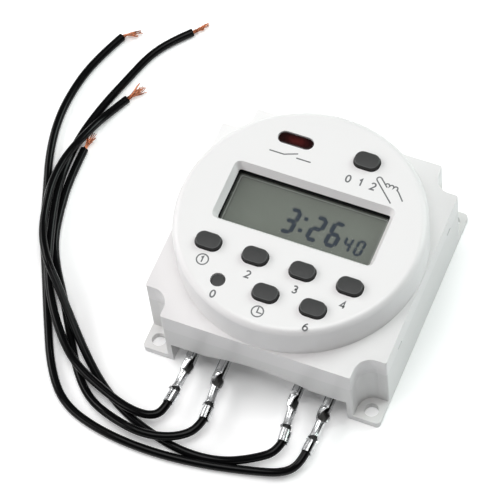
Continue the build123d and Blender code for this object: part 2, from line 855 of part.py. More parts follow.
# Each route after the run that leaves the receptacle, to the bare end
lead_routes = (
    [
        (-20.6, -47.9, 3.5),
        (-26.6, -47.6, over_z),
        (-34.0, -44.9, over_z),
        (-41.0, -41.7, over_z + lead_cross_gap),
        (-46.4, -37.4, over_z),
        (-52.6, -30.4, over_z),
        (-57.6, -22.8, over_z),
        (-60.9, -15.2, over_z),
        (-63.8, -7.0, 3.1),
        (-66.2, 1.4, 2.8),
        (-67.8, 9.4, 1.2),
        (-68.0, 18.6, rest_z),
        (-66.2, 28.8, rest_z),
        (-63.4, 38.4, rest_z),
        (-61.0, 46.6, rest_z),
        (-57.4, 52.4, rest_z),
        (-53.5, 56.6, rest_z),
    ],
    [
        (-12.6, -50.0, 3.5),
        (-20.4, -51.9, over_z),
        (-28.8, -50.5, over_z),
        (-36.6, -47.0, 1.4),
        (-42.7, -40.6, rest_z),
        (-48.2, -32.0, rest_z),
        (-53.6, -23.6, rest_z),
        (-58.8, -16.4, rest_z),
        (-62.2, -9.6, rest_z),
        (-64.2, -1.0, rest_z),
        (-65.4, 7.4, rest_z),
        (-65.4, 15.8, rest_z),
    ],
    [
        (6.2, -48.4, 2.6),
        (-1.2, -51.2, rest_z),
        (-9.6, -52.0, rest_z),
        (-17.8, -50.5, rest_z),
        (-26.6, -47.6, rest_z),
        (-35.2, -42.4, rest_z),
        (-42.6, -35.8, 1.6),
        (-49.0, -29.2, over_z),
        (-55.0, -22.9, 4.6),
        (-59.9, -18.0, two_over_z + lead_hump_lift),
        (-64.0, -11.8, 4.8),
        (-66.5, -4.6, 4.2),
        (-68.2, 3.4, 4.2),
        (-68.0, 11.4, 3.8),
        (-66.0, 19.2, over_z),
        (-64.4, 26.2, 1.4),
        (-61.2, 32.8, rest_z),
    ],
    [
        (14.2, -49.2, 2.0),
        (5.6, -51.6, rest_z),
        (-5.5, -54.1, rest_z),
        (-18.6, -55.4, rest_z),
        (-31.4, -54.3, rest_z),
        (-41.7, -50.7, rest_z),
        (-48.6, -42.4, rest_z),
        (-54.7, -30.5, rest_z),
        (-60.2, -19.2, rest_z),
        (-65.5, -8.8, rest_z),
        (-69.4, 2.0, rest_z),
        (-73.2, 12.0, rest_z),
        (-75.3, 22.6, rest_z),
        (-74.9, 33.0, rest_z),
        (-72.8, 42.0, rest_z),
        (-69.7, 49.4, rest_z),
    ],
)


# Radius at each corner of a route: as large as its two runs allow
def corner_radii(points):
    radii = []
    for before, corner, after in zip(points, points[1:], points[2:]):
        run_in = Vector(*corner) - Vector(*before)
        run_out = Vector(*after) - Vector(*corner)
        turn = radians(run_in.get_angle(run_out))
        radii.append(bend_share * min(run_in.length, run_out.length) / tan(turn / 2))
    return radii


for number, (x, start, route) in enumerate(zip(tab_xs, spade_starts, lead_routes), start=1):
    grip_end = start - receptacle_l
    leaving = [(x + grip_x, grip_end + lead_grip, tab_z), (x + grip_x, grip_end - lead_bend, tab_z)]
    points = leaving + route
    radii = corner_radii(points)
    with BuildPart() as lead:
        with BuildLine() as path:
            FilletPolyline(*points, radius=radii)
        with BuildSketch(Plane(origin=path.line @ 0, z_dir=path.line % 0)) as section:
            RegularPolygon(lead_r, lead_sides)
        sweep()
    save(lead, f"lead_{number}")
    length = sum(edge.length for edge in path.edges())
    fill = lead.part.volume / (section.sketch.area * length)
    print(f"lead_{number}: length {length:.1f}, volume over section times length {fill:.4f}")
    print("  radii", [round(radius, 1) for radius in radii])
    # Stripped end of the conductor, gathered to a blunt point
    tip = Plane(origin=path.line @ 1, z_dir=path.line % 1)
    with BuildPart() as bare_end:
        with BuildSketch(tip):
            RegularPolygon(bare_d / 2, lead_sides)
        with BuildSketch(tip.offset(bare_l)):
            RegularPolygon(bare_tip_d / 2, lead_sides)
        loft()
    save(bare_end, f"bare_end_{number}")
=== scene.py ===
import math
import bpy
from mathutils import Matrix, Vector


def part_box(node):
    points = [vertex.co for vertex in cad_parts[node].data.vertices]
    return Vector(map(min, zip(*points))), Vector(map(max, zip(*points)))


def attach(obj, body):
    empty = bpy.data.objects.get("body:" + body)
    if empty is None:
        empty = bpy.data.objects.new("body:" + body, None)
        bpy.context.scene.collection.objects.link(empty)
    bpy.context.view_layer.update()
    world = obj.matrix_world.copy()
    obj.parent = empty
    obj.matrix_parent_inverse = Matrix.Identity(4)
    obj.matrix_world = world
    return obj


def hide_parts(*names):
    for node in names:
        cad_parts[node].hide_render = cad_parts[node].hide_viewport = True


bl_info = {
    "name": "Digital timer switch",
    "version": (1, 0, 0),
    "blender": (4, 5, 0),
    "location": "3D View > Sidebar > Timer",
    "description": "Finishes, keys, display, marks, terminals and leads of a digital timer switch",
    "category": "Object",
}

import bmesh
import bpy
from bpy.props import FloatProperty, FloatVectorProperty, IntProperty, PointerProperty, StringProperty
from mathutils import Matrix, Vector

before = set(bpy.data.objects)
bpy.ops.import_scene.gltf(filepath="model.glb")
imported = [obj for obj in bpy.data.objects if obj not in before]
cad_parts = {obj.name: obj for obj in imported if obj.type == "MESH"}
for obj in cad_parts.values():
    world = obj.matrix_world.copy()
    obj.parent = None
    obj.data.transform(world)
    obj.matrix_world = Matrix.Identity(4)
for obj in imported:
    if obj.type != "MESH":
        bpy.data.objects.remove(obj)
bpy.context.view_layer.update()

MM = 0.001
HOUSING = "housing"
WHITE = (1.0, 1.0, 1.0)


def box_mm(node):
    """Lowest and highest corner of a node at rest, in millimetres."""
    low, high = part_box(node)
    return Vector(low) / MM, Vector(high) / MM


def middle_mm(node):
    """Middle of a node seen from above, in millimetres."""
    low, high = box_mm(node)
    return Vector(((low.x + high.x) / 2, (low.y + high.y) / 2))


# Heights of the face, of the display and of the window's underside, in millimetres
FACE_Z = box_mm("front_cover")[1].z
GLASS_TOP = box_mm("display_glass")[1].z
WINDOW_UNDER = box_mm("display_window")[0].z

UPPER_KEYS = tuple(f"upper_key_{n}" for n in range(1, 5))
OVAL_KEYS = ("manual_key", *UPPER_KEYS, "lower_key_1", "lower_key_2")
RESET = "reset_button"

# Height of a lead's middle, in millimetres: on the floor, over one lead and over two
REST, OVER, OVER_TWO = 1.05, 3.21, 5.37

# The lines that the leads follow, in millimetres, from the receptacle to the stripped end
LEAD_ROUTES = {
    "lead_1": [
        (-16.74, -39.8, 3.8), (-16.74, -44.8, 3.8), (-20.8, -47.2, 3.5), (-26.9, -46.8, OVER),
        (-34.3, -44.2, OVER), (-41.2, -41.2, OVER + 0.1), (-46.4, -37.4, OVER), (-52.6, -30.4, OVER),
        (-57.6, -22.8, OVER), (-60.9, -15.2, OVER), (-63.8, -7.0, 3.1), (-66.2, 1.4, 2.8),
        (-67.8, 9.4, 1.2), (-68.0, 18.6, REST), (-66.2, 28.8, REST), (-63.4, 38.4, REST),
        (-61.0, 46.6, REST), (-57.4, 52.4, REST), (-53.5, 56.6, REST),
    ],
    "lead_2": [
        (-8.79, -40.9, 3.8), (-8.79, -45.9, 3.8), (-12.6, -50.0, 3.5), (-20.4, -51.9, OVER),
        (-28.8, -50.5, OVER), (-36.6, -47.0, 1.4), (-42.7, -40.6, REST), (-48.2, -32.0, REST),
        (-53.6, -23.6, REST), (-58.8, -16.4, REST), (-62.2, -9.6, REST), (-64.2, -1.0, REST),
        (-65.4, 7.4, REST), (-65.4, 15.8, REST),
    ],
    "lead_3": [
        (10.01, -40.1, 3.8), (10.01, -45.1, 3.8), (6.2, -48.4, 2.6), (-1.2, -51.2, REST),
        (-9.6, -52.0, REST), (-17.8, -50.5, REST), (-26.6, -47.6, REST), (-35.2, -42.4, REST),
        (-42.6, -35.8, 1.6), (-49.0, -29.2, OVER), (-55.0, -22.9, 4.6), (-59.9, -18.0, OVER_TWO + 0.3),
        (-64.0, -11.8, 4.8), (-66.5, -4.6, 4.2), (-68.2, 3.4, 4.2), (-68.0, 11.4, 3.8),
        (-66.0, 19.2, OVER), (-64.4, 26.2, 1.4), (-61.2, 32.8, REST),
    ],
    "lead_4": [
        (17.96, -40.7, 3.8), (17.96, -45.7, 3.8), (14.2, -49.2, 2.0), (5.4, -51.2, REST),
        (-5.8, -53.5, REST), (-18.9, -54.6, REST), (-31.7, -53.5, REST), (-41.9, -50.1, REST),
        (-48.6, -42.4, REST), (-54.7, -30.5, REST), (-60.2, -19.2, REST), (-65.5, -8.8, REST),
        (-69.4, 2.0, REST), (-73.2, 12.0, REST), (-75.3, 22.6, REST), (-74.9, 33.0, REST),
        (-72.8, 42.0, REST), (-69.7, 49.4, REST),
    ],
}


def linear(hex_colour):
    """Linear red, green and blue of an sRGB hex colour."""
    values = [int(hex_colour[place : place + 2], 16) / 255 for place in (1, 3, 5)]
    return tuple(v / 12.92 if v <= 0.04045 else ((v + 0.055) / 1.055) ** 2.4 for v in values)


def scaled(colour, factor):
    """A colour made lighter or darker."""
    return tuple(min(1.0, value * factor) for value in colour)


def add_node(tree, kind, inputs=(), **settings):
    """Adds a node with its settings, and sets or links its inputs, by name or in the order it shows them."""
    made = tree.nodes.new(kind)
    for key, value in settings.items():
        setattr(made, key, value)
    if isinstance(inputs, dict):
        pairs = [(made.inputs[key], value) for key, value in inputs.items()]
    else:
        pairs = list(zip([socket for socket in made.inputs if socket.enabled], inputs))
    for socket, value in pairs:
        if isinstance(value, bpy.types.Node):
            value = next(output for output in value.outputs if output.enabled)
        if isinstance(value, bpy.types.NodeSocket):
            tree.links.new(value, socket)
        elif socket.type == "RGBA":
            socket.default_value = (*value, 1.0)
        else:
            socket.default_value = value
    return made


def new_material(name):
    """A material with an empty node tree, and that tree."""
    material = bpy.data.materials.new(name)
    material.use_nodes = True
    material.node_tree.nodes.clear()
    return material, material.node_tree


def finish_material(material, colour, roughness, height, depth_mm, shader):
    """Puts colour, gloss and relief on one surface shader."""
    tree = material.node_tree
    relief = add_node(tree, "ShaderNodeBump", {"Height": height, "Distance": depth_mm * MM})
    inputs = {"Base Color": colour, "Roughness": roughness, "Normal": relief, **shader}
    surface = add_node(tree, "ShaderNodeBsdfPrincipled", inputs)
    add_node(tree, "ShaderNodeOutputMaterial", {"Surface": surface})
    return material


def per_mm(size_mm):
    """Scale of a pattern whose spots are about as wide as the size given."""
    return 1 / (size_mm * MM)


# Width of the soft changes of tone in a plastic, of its marks of handling, and of the blooms on a metal.
# A grain that is too fine to show, such as that of a polished mould, is drawn as coarse as it needs to show
TONE_MM, HANDLING_MM, BLOOM_MM = 11.0, 2.6, 1.8
# Share by which handling makes a plastic's gloss uneven
HANDLED = 0.12


def moulded_plastic(name, colour, roughness, grain_mm, grain_depth_mm, tone=0.04, shader=None):
    """A moulded plastic: an even colour, its mould's skin, and a gloss that handling has dulled in places."""
    material, tree = new_material(name)
    place = add_node(tree, "ShaderNodeTexCoord").outputs["Object"]
    grain = add_node(tree, "ShaderNodeTexNoise", (place, per_mm(grain_mm), 3.0))
    blotch = add_node(tree, "ShaderNodeTexNoise", (place, per_mm(TONE_MM), 2.0))
    marks = add_node(tree, "ShaderNodeTexNoise", (place, per_mm(HANDLING_MM), 5.0))
    tones = (blotch, scaled(colour, 1 - tone), tuple(colour))
    tint = add_node(tree, "ShaderNodeMix", tones, data_type="RGBA")
    # The two add up to about 1, from 0.6 where the skin is least worn to 1.4 where it is most
    worn = add_node(tree, "ShaderNodeMath", (grain, marks), operation="ADD")
    least, most = roughness * (1 - HANDLED), roughness * (1 + HANDLED)
    gloss = add_node(tree, "ShaderNodeMapRange", (worn, 0.6, 1.4, least, most))
    return finish_material(material, tint, gloss, grain, grain_depth_mm, {"IOR": 1.5, **(shader or {})})


def worked_metal(name, colour, roughness, grain_mm, grain_depth_mm, along=WHITE, tarnish=None):
    """A rolled, drawn or plated metal: fine marks, drawn out along the way it was worked, and dull blooms."""
    material, tree = new_material(name)
    place = add_node(tree, "ShaderNodeTexCoord").outputs["Object"]
    drawn_out = add_node(tree, "ShaderNodeMapping", {"Vector": place, "Scale": along})
    grain = add_node(tree, "ShaderNodeTexNoise", (drawn_out, per_mm(grain_mm), 4.0))
    spots = add_node(tree, "ShaderNodeTexNoise", (place, per_mm(BLOOM_MM), 4.0))
    bloom = add_node(tree, "ShaderNodeMapRange", (spots, 0.42, 0.72, 0.0, 1.0))
    bright = add_node(tree, "ShaderNodeMix", (grain, scaled(colour, 0.84), tuple(colour)), data_type="RGBA")
    tint = add_node(tree, "ShaderNodeMix", (bloom, bright, scaled(tarnish or colour, 0.8)), data_type="RGBA")
    gloss = add_node(tree, "ShaderNodeMapRange", (grain, 0.0, 1.0, roughness * 0.7, roughness * 1.35))
    return finish_material(material, tint, gloss, grain, grain_depth_mm, {"Metallic": 1.0})


def directly_seen(tree):
    """1 for what the eye meets, also in a gloss or through a clear piece, and 0 for light that bounces."""
    path = add_node(tree, "ShaderNodeLightPath")
    seen = path.outputs["Is Camera Ray"]
    for ray in ("Is Glossy Ray", "Is Transmission Ray"):
        seen = add_node(tree, "ShaderNodeMath", (seen, path.outputs[ray]), operation="MAXIMUM")
    return seen


def dress(node, material):
    """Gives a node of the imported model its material."""
    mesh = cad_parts[node].data
    mesh.materials.clear()
    mesh.materials.append(material)


def place_piece(name, data, body=HOUSING):
    """Puts a mesh or a curve in the scene as a piece that rides on a body."""
    piece = bpy.data.objects.new(name, data)
    bpy.context.scene.collection.objects.link(piece)
    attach(piece, body)
    return piece


# Edges that turn by more than this many degrees stay sharp
SHARP_DEGREES = 35.0


def add_mesh(name, shape, materials, body=HOUSING):
    """A piece from a shape drawn in millimetres, smooth but for its sharp edges."""
    bmesh.ops.recalc_face_normals(shape, faces=shape.faces)
    bmesh.ops.scale(shape, vec=(MM, MM, MM), verts=shape.verts)
    mesh = bpy.data.meshes.new(name)
    shape.to_mesh(mesh)
    shape.free()
    for face in mesh.polygons:
        face.use_smooth = True
    mesh.set_sharp_from_angle(angle=math.radians(SHARP_DEGREES))
    for material in materials:
        mesh.materials.append(material)
    return place_piece(name, mesh, body)


def new_curve(name, material, diameter, around, steps):
    """An empty round curve with closed ends, its diameter in metres."""
    curve = bpy.data.curves.new(name, "CURVE")
    curve.dimensions = "3D"
    curve.bevel_depth = diameter / 2
    curve.bevel_resolution = around
    curve.resolution_u = steps
    curve.use_fill_caps = True
    curve.materials.append(material)
    return curve


def add_line(curve, points):
    """A smooth line on a curve, led by points in millimetres."""
    spline = curve.splines.new("NURBS")
    spline.points.add(len(points) - 1)
    for knot, point in zip(spline.points, points):
        knot.co = (*(point * MM), 1.0)
    spline.order_u = 3
    spline.use_endpoint_u = True
    spline.use_smooth = True


def rounded_outline(middle, width, depth, radius, height, steps=8):
    """Points round a rectangle with rounded corners, at one height."""
    points = []
    for turn, (side_x, side_y) in enumerate(((1, 1), (-1, 1), (-1, -1), (1, -1))):
        corner = Vector((side_x * (width / 2 - radius), side_y * (depth / 2 - radius)))
        for step in range(steps + 1):
            angle = math.pi / 2 * (turn + step / steps)
            x, y = middle + corner + Vector((math.cos(angle), math.sin(angle))) * radius
            points.append((x, y, height))
    return points


def skin_rings(shape, rings, closed=False):
    """Joins rings of equally many points, one after the other, and returns their vertices."""
    made = [[shape.verts.new(point) for point in ring] for ring in rings]
    following = made[1:] + (made[:1] if closed else [])
    for lower, upper in zip(made, following):
        for n in range(len(lower)):
            m = (n + 1) % len(lower)
            shape.faces.new((lower[n], lower[m], upper[m], upper[n]))
    return made


def capped_solid(rings, low, high):
    """A solid through level rings, closed by a fan at its lowest and at its highest point."""
    shape = bmesh.new()
    made = skin_rings(shape, rings)
    for ring, height in ((made[0], low), (made[-1], high)):
        middle = sum((vert.co for vert in ring), Vector()) / len(ring)
        tip = shape.verts.new((middle.x, middle.y, height))
        for n in range(len(ring)):
            shape.faces.new((ring[n], ring[(n + 1) % len(ring)], tip))
    return shape


def crowned_top(middle, width, depth, radius, rim_z, top_z, edge, share_of_crown):
    """Rings over a rounded edge and on up a shallow crown, from the rim to near the middle."""
    rings = []
    crown = (top_z - rim_z) * share_of_crown
    for step in range(1, 6):
        angle = math.pi / 2 * step / 5
        inset = edge * (1 - math.cos(angle))
        z = rim_z + (top_z - crown - rim_z) * math.sin(angle)
        corner = max(radius - inset, 0.05)
        rings.append(rounded_outline(middle, width - 2 * inset, depth - 2 * inset, corner, z))
    for share in (0.85, 0.65, 0.4, 0.15):
        across, along = (width - 2 * edge) * share, (depth - 2 * edge) * share
        corner = max((radius - edge) * share, 0.02)
        rings.append(rounded_outline(middle, across, along, corner, top_z - crown * share**2))
    return rings


def add_band(shape, points, width, low, high, closed=False):
    """A flat band of ink along a line of points."""
    places = [Vector(point) for point in points]
    count = len(places)
    rings = []
    for n, place in enumerate(places):
        before = places[n - 1] if n or closed else place
        after = places[(n + 1) % count] if n < count - 1 or closed else place
        way_in = (place - before).normalized() if place != before else (after - place).normalized()
        way_out = (after - place).normalized() if after != place else way_in
        across = (way_in + way_out).normalized().orthogonal()
        lean = max(across.dot(way_in.orthogonal()), 0.4)
        left, right = (place + across * (side * width / 2 / lean) for side in (1, -1))
        rings.append([(*left, low), (*right, low), (*right, high), (*left, high)])
    made = skin_rings(shape, rings, closed)
    if not closed:
        shape.faces.new(made[0])
        shape.faces.new(made[-1])


def arc_points(middle, radius, start, end, steps=10):
    """Points along an arc, its angles in degrees."""
    turns = [math.radians(start + (end - start) * n / steps) for n in range(steps + 1)]
    return [(middle[0] + radius * math.cos(a), middle[1] + radius * math.sin(a)) for a in turns]


# Strokes of each printed number, in a frame one unit high, with its width and the step to the next number
NUMBER_WIDE, NUMBER_STEP = 0.62, 0.86
STROKES = {
    "0": [[(0.31 + 0.29 * x, 0.5 + 0.5 * y) for x, y in arc_points((0, 0), 1, 90, 450, 24)]],
    "1": [[(0.1, 0.76), (0.36, 1.0), (0.36, 0.0)]],
    "2": [arc_points((0.31, 0.71), 0.28, 160, -38) + [(0.04, 0.0), (0.6, 0.0)]],
    "3": [arc_points((0.28, 0.75), 0.25, 150, -75) + arc_points((0.28, 0.27), 0.28, 75, -150)],
    "4": [[(0.47, 0.0), (0.47, 1.0), (0.02, 0.3), (0.64, 0.3)]],
    "6": [arc_points((0.31, 0.3), 0.29, 0, 360, 20), [(0.03, 0.36), (0.09, 0.64), (0.25, 0.88), (0.46, 1.0)]],
}


def add_number(shape, text, middle, cap_height, line, low, high):
    """A plain printed number about a middle, drawn in strokes of flat ink."""
    left = middle[0] - cap_height * ((len(text) - 1) * NUMBER_STEP + NUMBER_WIDE) / 2
    for place, sign in enumerate(text):
        start = left + cap_height * place * NUMBER_STEP
        for stroke in STROKES.get(sign, ()):
            points = [(start + cap_height * x, middle[1] + cap_height * (y - 0.5)) for x, y in stroke]
            closed = (Vector(points[0]) - Vector(points[-1])).length < 1e-6
            add_band(shape, points[:-1] if closed else points, line, low, high, closed)


# Along a receptacle, in millimetres from its mouth: end of the rolled socket, narrow end of the neck,
# end of the conductor crimp, and the insulation grip
SOCKET_END, NECK_END, CRIMP_END, GRIP_START, GRIP_END = 6.7, 10.2, 14.0, 15.3, 18.4
# Half the thickness of its sheet, and the number of points across the sheet
SHEET_HALF, SHEET_POINTS = 0.2, 33
# How far the middle of the lead lies beside the tab's in the grip, in millimetres
GRIP_ASIDE = 0.61
# Sideways lean of each crimp past its neck, and how far its seam is turned up, in degrees
CRIMP_LEAN = {1: -6.0, 2: 2.5, 3: 6.0, 4: -4.0}
CRIMP_TURN = {1: 32.0, 2: 58.0, 3: 34.0, 4: 62.0}


def crimp_shift(number, along):
    """How far a crimp has leaned sideways at a place along the receptacle, in millimetres."""
    return math.tan(math.radians(CRIMP_LEAN[number])) * max(0.0, along - (SOCKET_END + 0.9))


def crimp_turned(number, along, outline):
    """The sheet's outline turned about the wire, past the neck, in millimetres."""
    share = min(max((along - SOCKET_END + 0.2) / 2.0, 0.0), 1.0)
    turn = Matrix.Rotation(math.radians(CRIMP_TURN[number]) * share, 2)
    aside = min(max((along - SOCKET_END) / (GRIP_START - SOCKET_END), 0.0), 1.0)
    middle = Vector((GRIP_ASIDE * aside, 0.0))
    return [middle + turn @ (point - middle) for point in outline]


def sheet_profile(upper, shared=0):
    """The sheet's middle line, set evenly: the upper half and its mirror image, but for shared points."""
    half = upper[: len(upper) - shared]
    places = [Vector(point) for point in upper + [(u, -w) for u, w in reversed(half)]]
    lengths = [0.0]
    for a, b in zip(places, places[1:]):
        lengths.append(lengths[-1] + (b - a).length)
    spread = []
    n = 0
    for step in range(SHEET_POINTS):
        want = lengths[-1] * step / (SHEET_POINTS - 1)
        while n < len(places) - 2 and lengths[n + 1] < want:
            n += 1
        run = lengths[n + 1] - lengths[n]
        spread.append(places[n].lerp(places[n + 1], (want - lengths[n]) / run if run else 0.0))
    return spread


def trough_profile(half_width, wall):
    """The sheet as a trough, its walls standing up to the height given."""
    return sheet_profile([(wall, half_width)] + arc_points((-0.2, half_width - 0.45), 0.45, 90, 180, 6))


def barrel_profile(middle, radius, seam_degrees, tuck):
    """The sheet wrapped round a wire, its edges tucked in along the seam."""
    first, *rest = arc_points((middle, 0.0), radius, seam_degrees, 180, 14)
    return sheet_profile([(first[0] - tuck, first[1] - tuck * 0.25), first, *rest], shared=1)


def receptacle_stations():
    """The sheet's shape at each place along a receptacle."""
    # Rolled into a spade socket, open on the side away from its back
    socket = sheet_profile([(0.42, 1.2), (0.62, 1.4)] + arc_points((0.0, 2.25), 0.65, 0, 180))
    crimp = barrel_profile(0.3, 0.95, 10, 0.42)
    flared = barrel_profile(0.36, 1.05, 14, 0.35)
    grip = barrel_profile(GRIP_ASIDE, 1.26, 10, 0.0)
    return [
        (0.0, socket),
        (0.3, socket),
        (SOCKET_END - 0.3, socket),
        (SOCKET_END + 0.2, trough_profile(1.9, 0.85)),
        (SOCKET_END + 1.2, trough_profile(1.45, 0.75)),
        (NECK_END - 0.9, trough_profile(1.15, 0.65)),
        (NECK_END - 0.1, flared),
        (NECK_END + 0.5, crimp),
        (CRIMP_END - 0.6, crimp),
        (CRIMP_END, flared),
        (CRIMP_END + 0.35, trough_profile(1.2, 0.25)),
        (GRIP_START - 0.35, trough_profile(1.3, 0.4)),
        (GRIP_START, grip),
        (GRIP_START + 1.2, grip),
        (GRIP_END, grip),
    ]


def thickened(profile):
    """Outline of the sheet about its middle line."""
    outer = []
    inner = []
    for n, place in enumerate(profile):
        before = profile[max(n - 1, 0)]
        after = profile[min(n + 1, len(profile) - 1)]
        side = (after - before).normalized().orthogonal() * SHEET_HALF
        outer.append(place - side)
        inner.append(place + side)
    return outer + list(reversed(inner))


def colour_setting(name, description, shown):
    """A colour that a user may change, given as the sRGB hex value that it shows as."""
    colour = linear(shown)
    return FloatVectorProperty(
        name=name, description=description, default=colour, subtype="COLOR", min=0, max=1
    )


def length_setting(name, description, length_mm):
    """A length that a user may change, given in millimetres."""
    return FloatProperty(name=name, description=description, default=length_mm * MM, unit="LENGTH")


def angle_setting(name, description, degrees):
    """An angle that a user may change, given in degrees."""
    return FloatProperty(name=name, description=description, default=math.radians(degrees), subtype="ANGLE")


class TimerStageSettings(bpy.types.PropertyGroup):
    """Camera, floor and lamps"""

    azimuth: angle_setting("Azimuth", "Camera's turn round the case", 29.36)
    elevation: angle_setting("Elevation", "Camera's height above the floor", 60.17)
    roll: angle_setting("Roll", "Camera's turn about its line of sight", -8.18)
    distance: length_setting("Distance", "From the camera to its target", 753.59)
    lens: FloatProperty(name="Focal length", description="On a sensor 36 mm wide", default=225.1)
    target: FloatVectorProperty(
        name="Target",
        description="Point on the floor that the camera looks at",
        default=(-0.01646, 0.00391, 0.0),
        subtype="XYZ",
        unit="LENGTH",
    )
    floor_colour: colour_setting("Floor", "Colour of the paper floor", "#F0F1F3")
    floor_size: length_setting("Floor size", "Side of the floor", 4000.0)


class TimerLeadSettings(bpy.types.PropertyGroup):
    """Leads and their stripped ends"""

    diameter: length_setting("Diameter", "Outside of the insulation", 2.06)
    colour: colour_setting("Insulation", "Colour of the insulation", "#0C0C0D")
    strand_diameter: length_setting("Strand", "Thickness of one copper strand", 0.21)
    strand_count: IntProperty(
        name="Strands", description="Strands in a stripped end", default=19, min=3, max=40
    )
    strand_colour: colour_setting("Copper", "Colour of the strands", "#DE9672")


class TimerHousingSettings(bpy.types.PropertyGroup):
    """Case and cover"""

    colour: colour_setting("Cover", "Colour of the front cover", "#ECEAEA")
    tub_colour: colour_setting("Case", "Colour of the rear case", "#E6E5E4")
    roughness: FloatProperty(
        name="Gloss",
        description="Roughness of the moulded skin",
        default=0.33,
        min=0,
        max=1,
        subtype="FACTOR",
    )
    edge: length_setting("Eased edge", "Rounding of the moulded edges", 0.2)


class TimerKeySettings(bpy.types.PropertyGroup):
    """Keys"""

    colour: colour_setting("Keys", "Colour of the keys", "#404040")
    # The rim colour is a painted highlight and the side colour is painted shade, laid on by which way a key's
    # surface faces
    rim: colour_setting("Rim highlight", "Colour round the top of a key", "#5A5A5A")
    side: colour_setting("Sides", "Colour of a key's sides", "#161616")
    edge: length_setting("Edge radius", "Rounding of a key's rim", 0.34)


class TimerLampSettings(bpy.types.PropertyGroup):
    """Lamp lens"""

    # The lens middle is a painted glow of the lamp behind it; the lens's own colour is the rim colour
    colour: colour_setting("Lens", "Colour at its rim", "#1E0808")
    glow: colour_setting("Painted lens glow", "Colour over the lamp", "#4A1716")


class TimerDisplaySettings(bpy.types.PropertyGroup):
    """Display"""

    ground: colour_setting("Ground", "Colour of the display between its numbers", "#6C7169")
    ink: colour_setting("Numbers", "Colour of the numbers", "#222C3A")
    hours: StringProperty(name="Hours", description="Number before the colon", default="3")
    minutes: StringProperty(name="Minutes", description="Numbers after the colon", default="26")
    seconds: StringProperty(name="Seconds", description="Small numbers", default="40")
    height: length_setting("Number height", "Height of the large numbers", 7.1)


class TimerMarkSettings(bpy.types.PropertyGroup):
    """Printed marks on the face"""

    colour: colour_setting("Ink", "Colour of the print", "#6A6B6D")
    line: length_setting("Line", "Width of a printed line", 0.32)
    height: length_setting("Number height", "Height of a printed number", 1.8)


class TimerTerminalSettings(bpy.types.PropertyGroup):
    """Crimped receptacles"""

    colour: colour_setting("Tin", "Colour of the plating", "#EEEFF0")


# Soft lamps: name, place and side in metres, power in watts and colour. Each is square and faces the object
LAMPS = (
    ("lamp_over", (0.0, 0.0, 1.0), 0.7, 5.9, WHITE),
    ("lamp_left", (-0.9, 0.1, 0.55), 0.5, 4.2, WHITE),
    ("lamp_left_front", (-0.7, -0.6, 0.55), 0.5, 2.7, WHITE),
    ("lamp_right_back", (0.55, 0.66, 0.55), 0.5, 4.7, (0.89, 1.0, 0.96)),
)


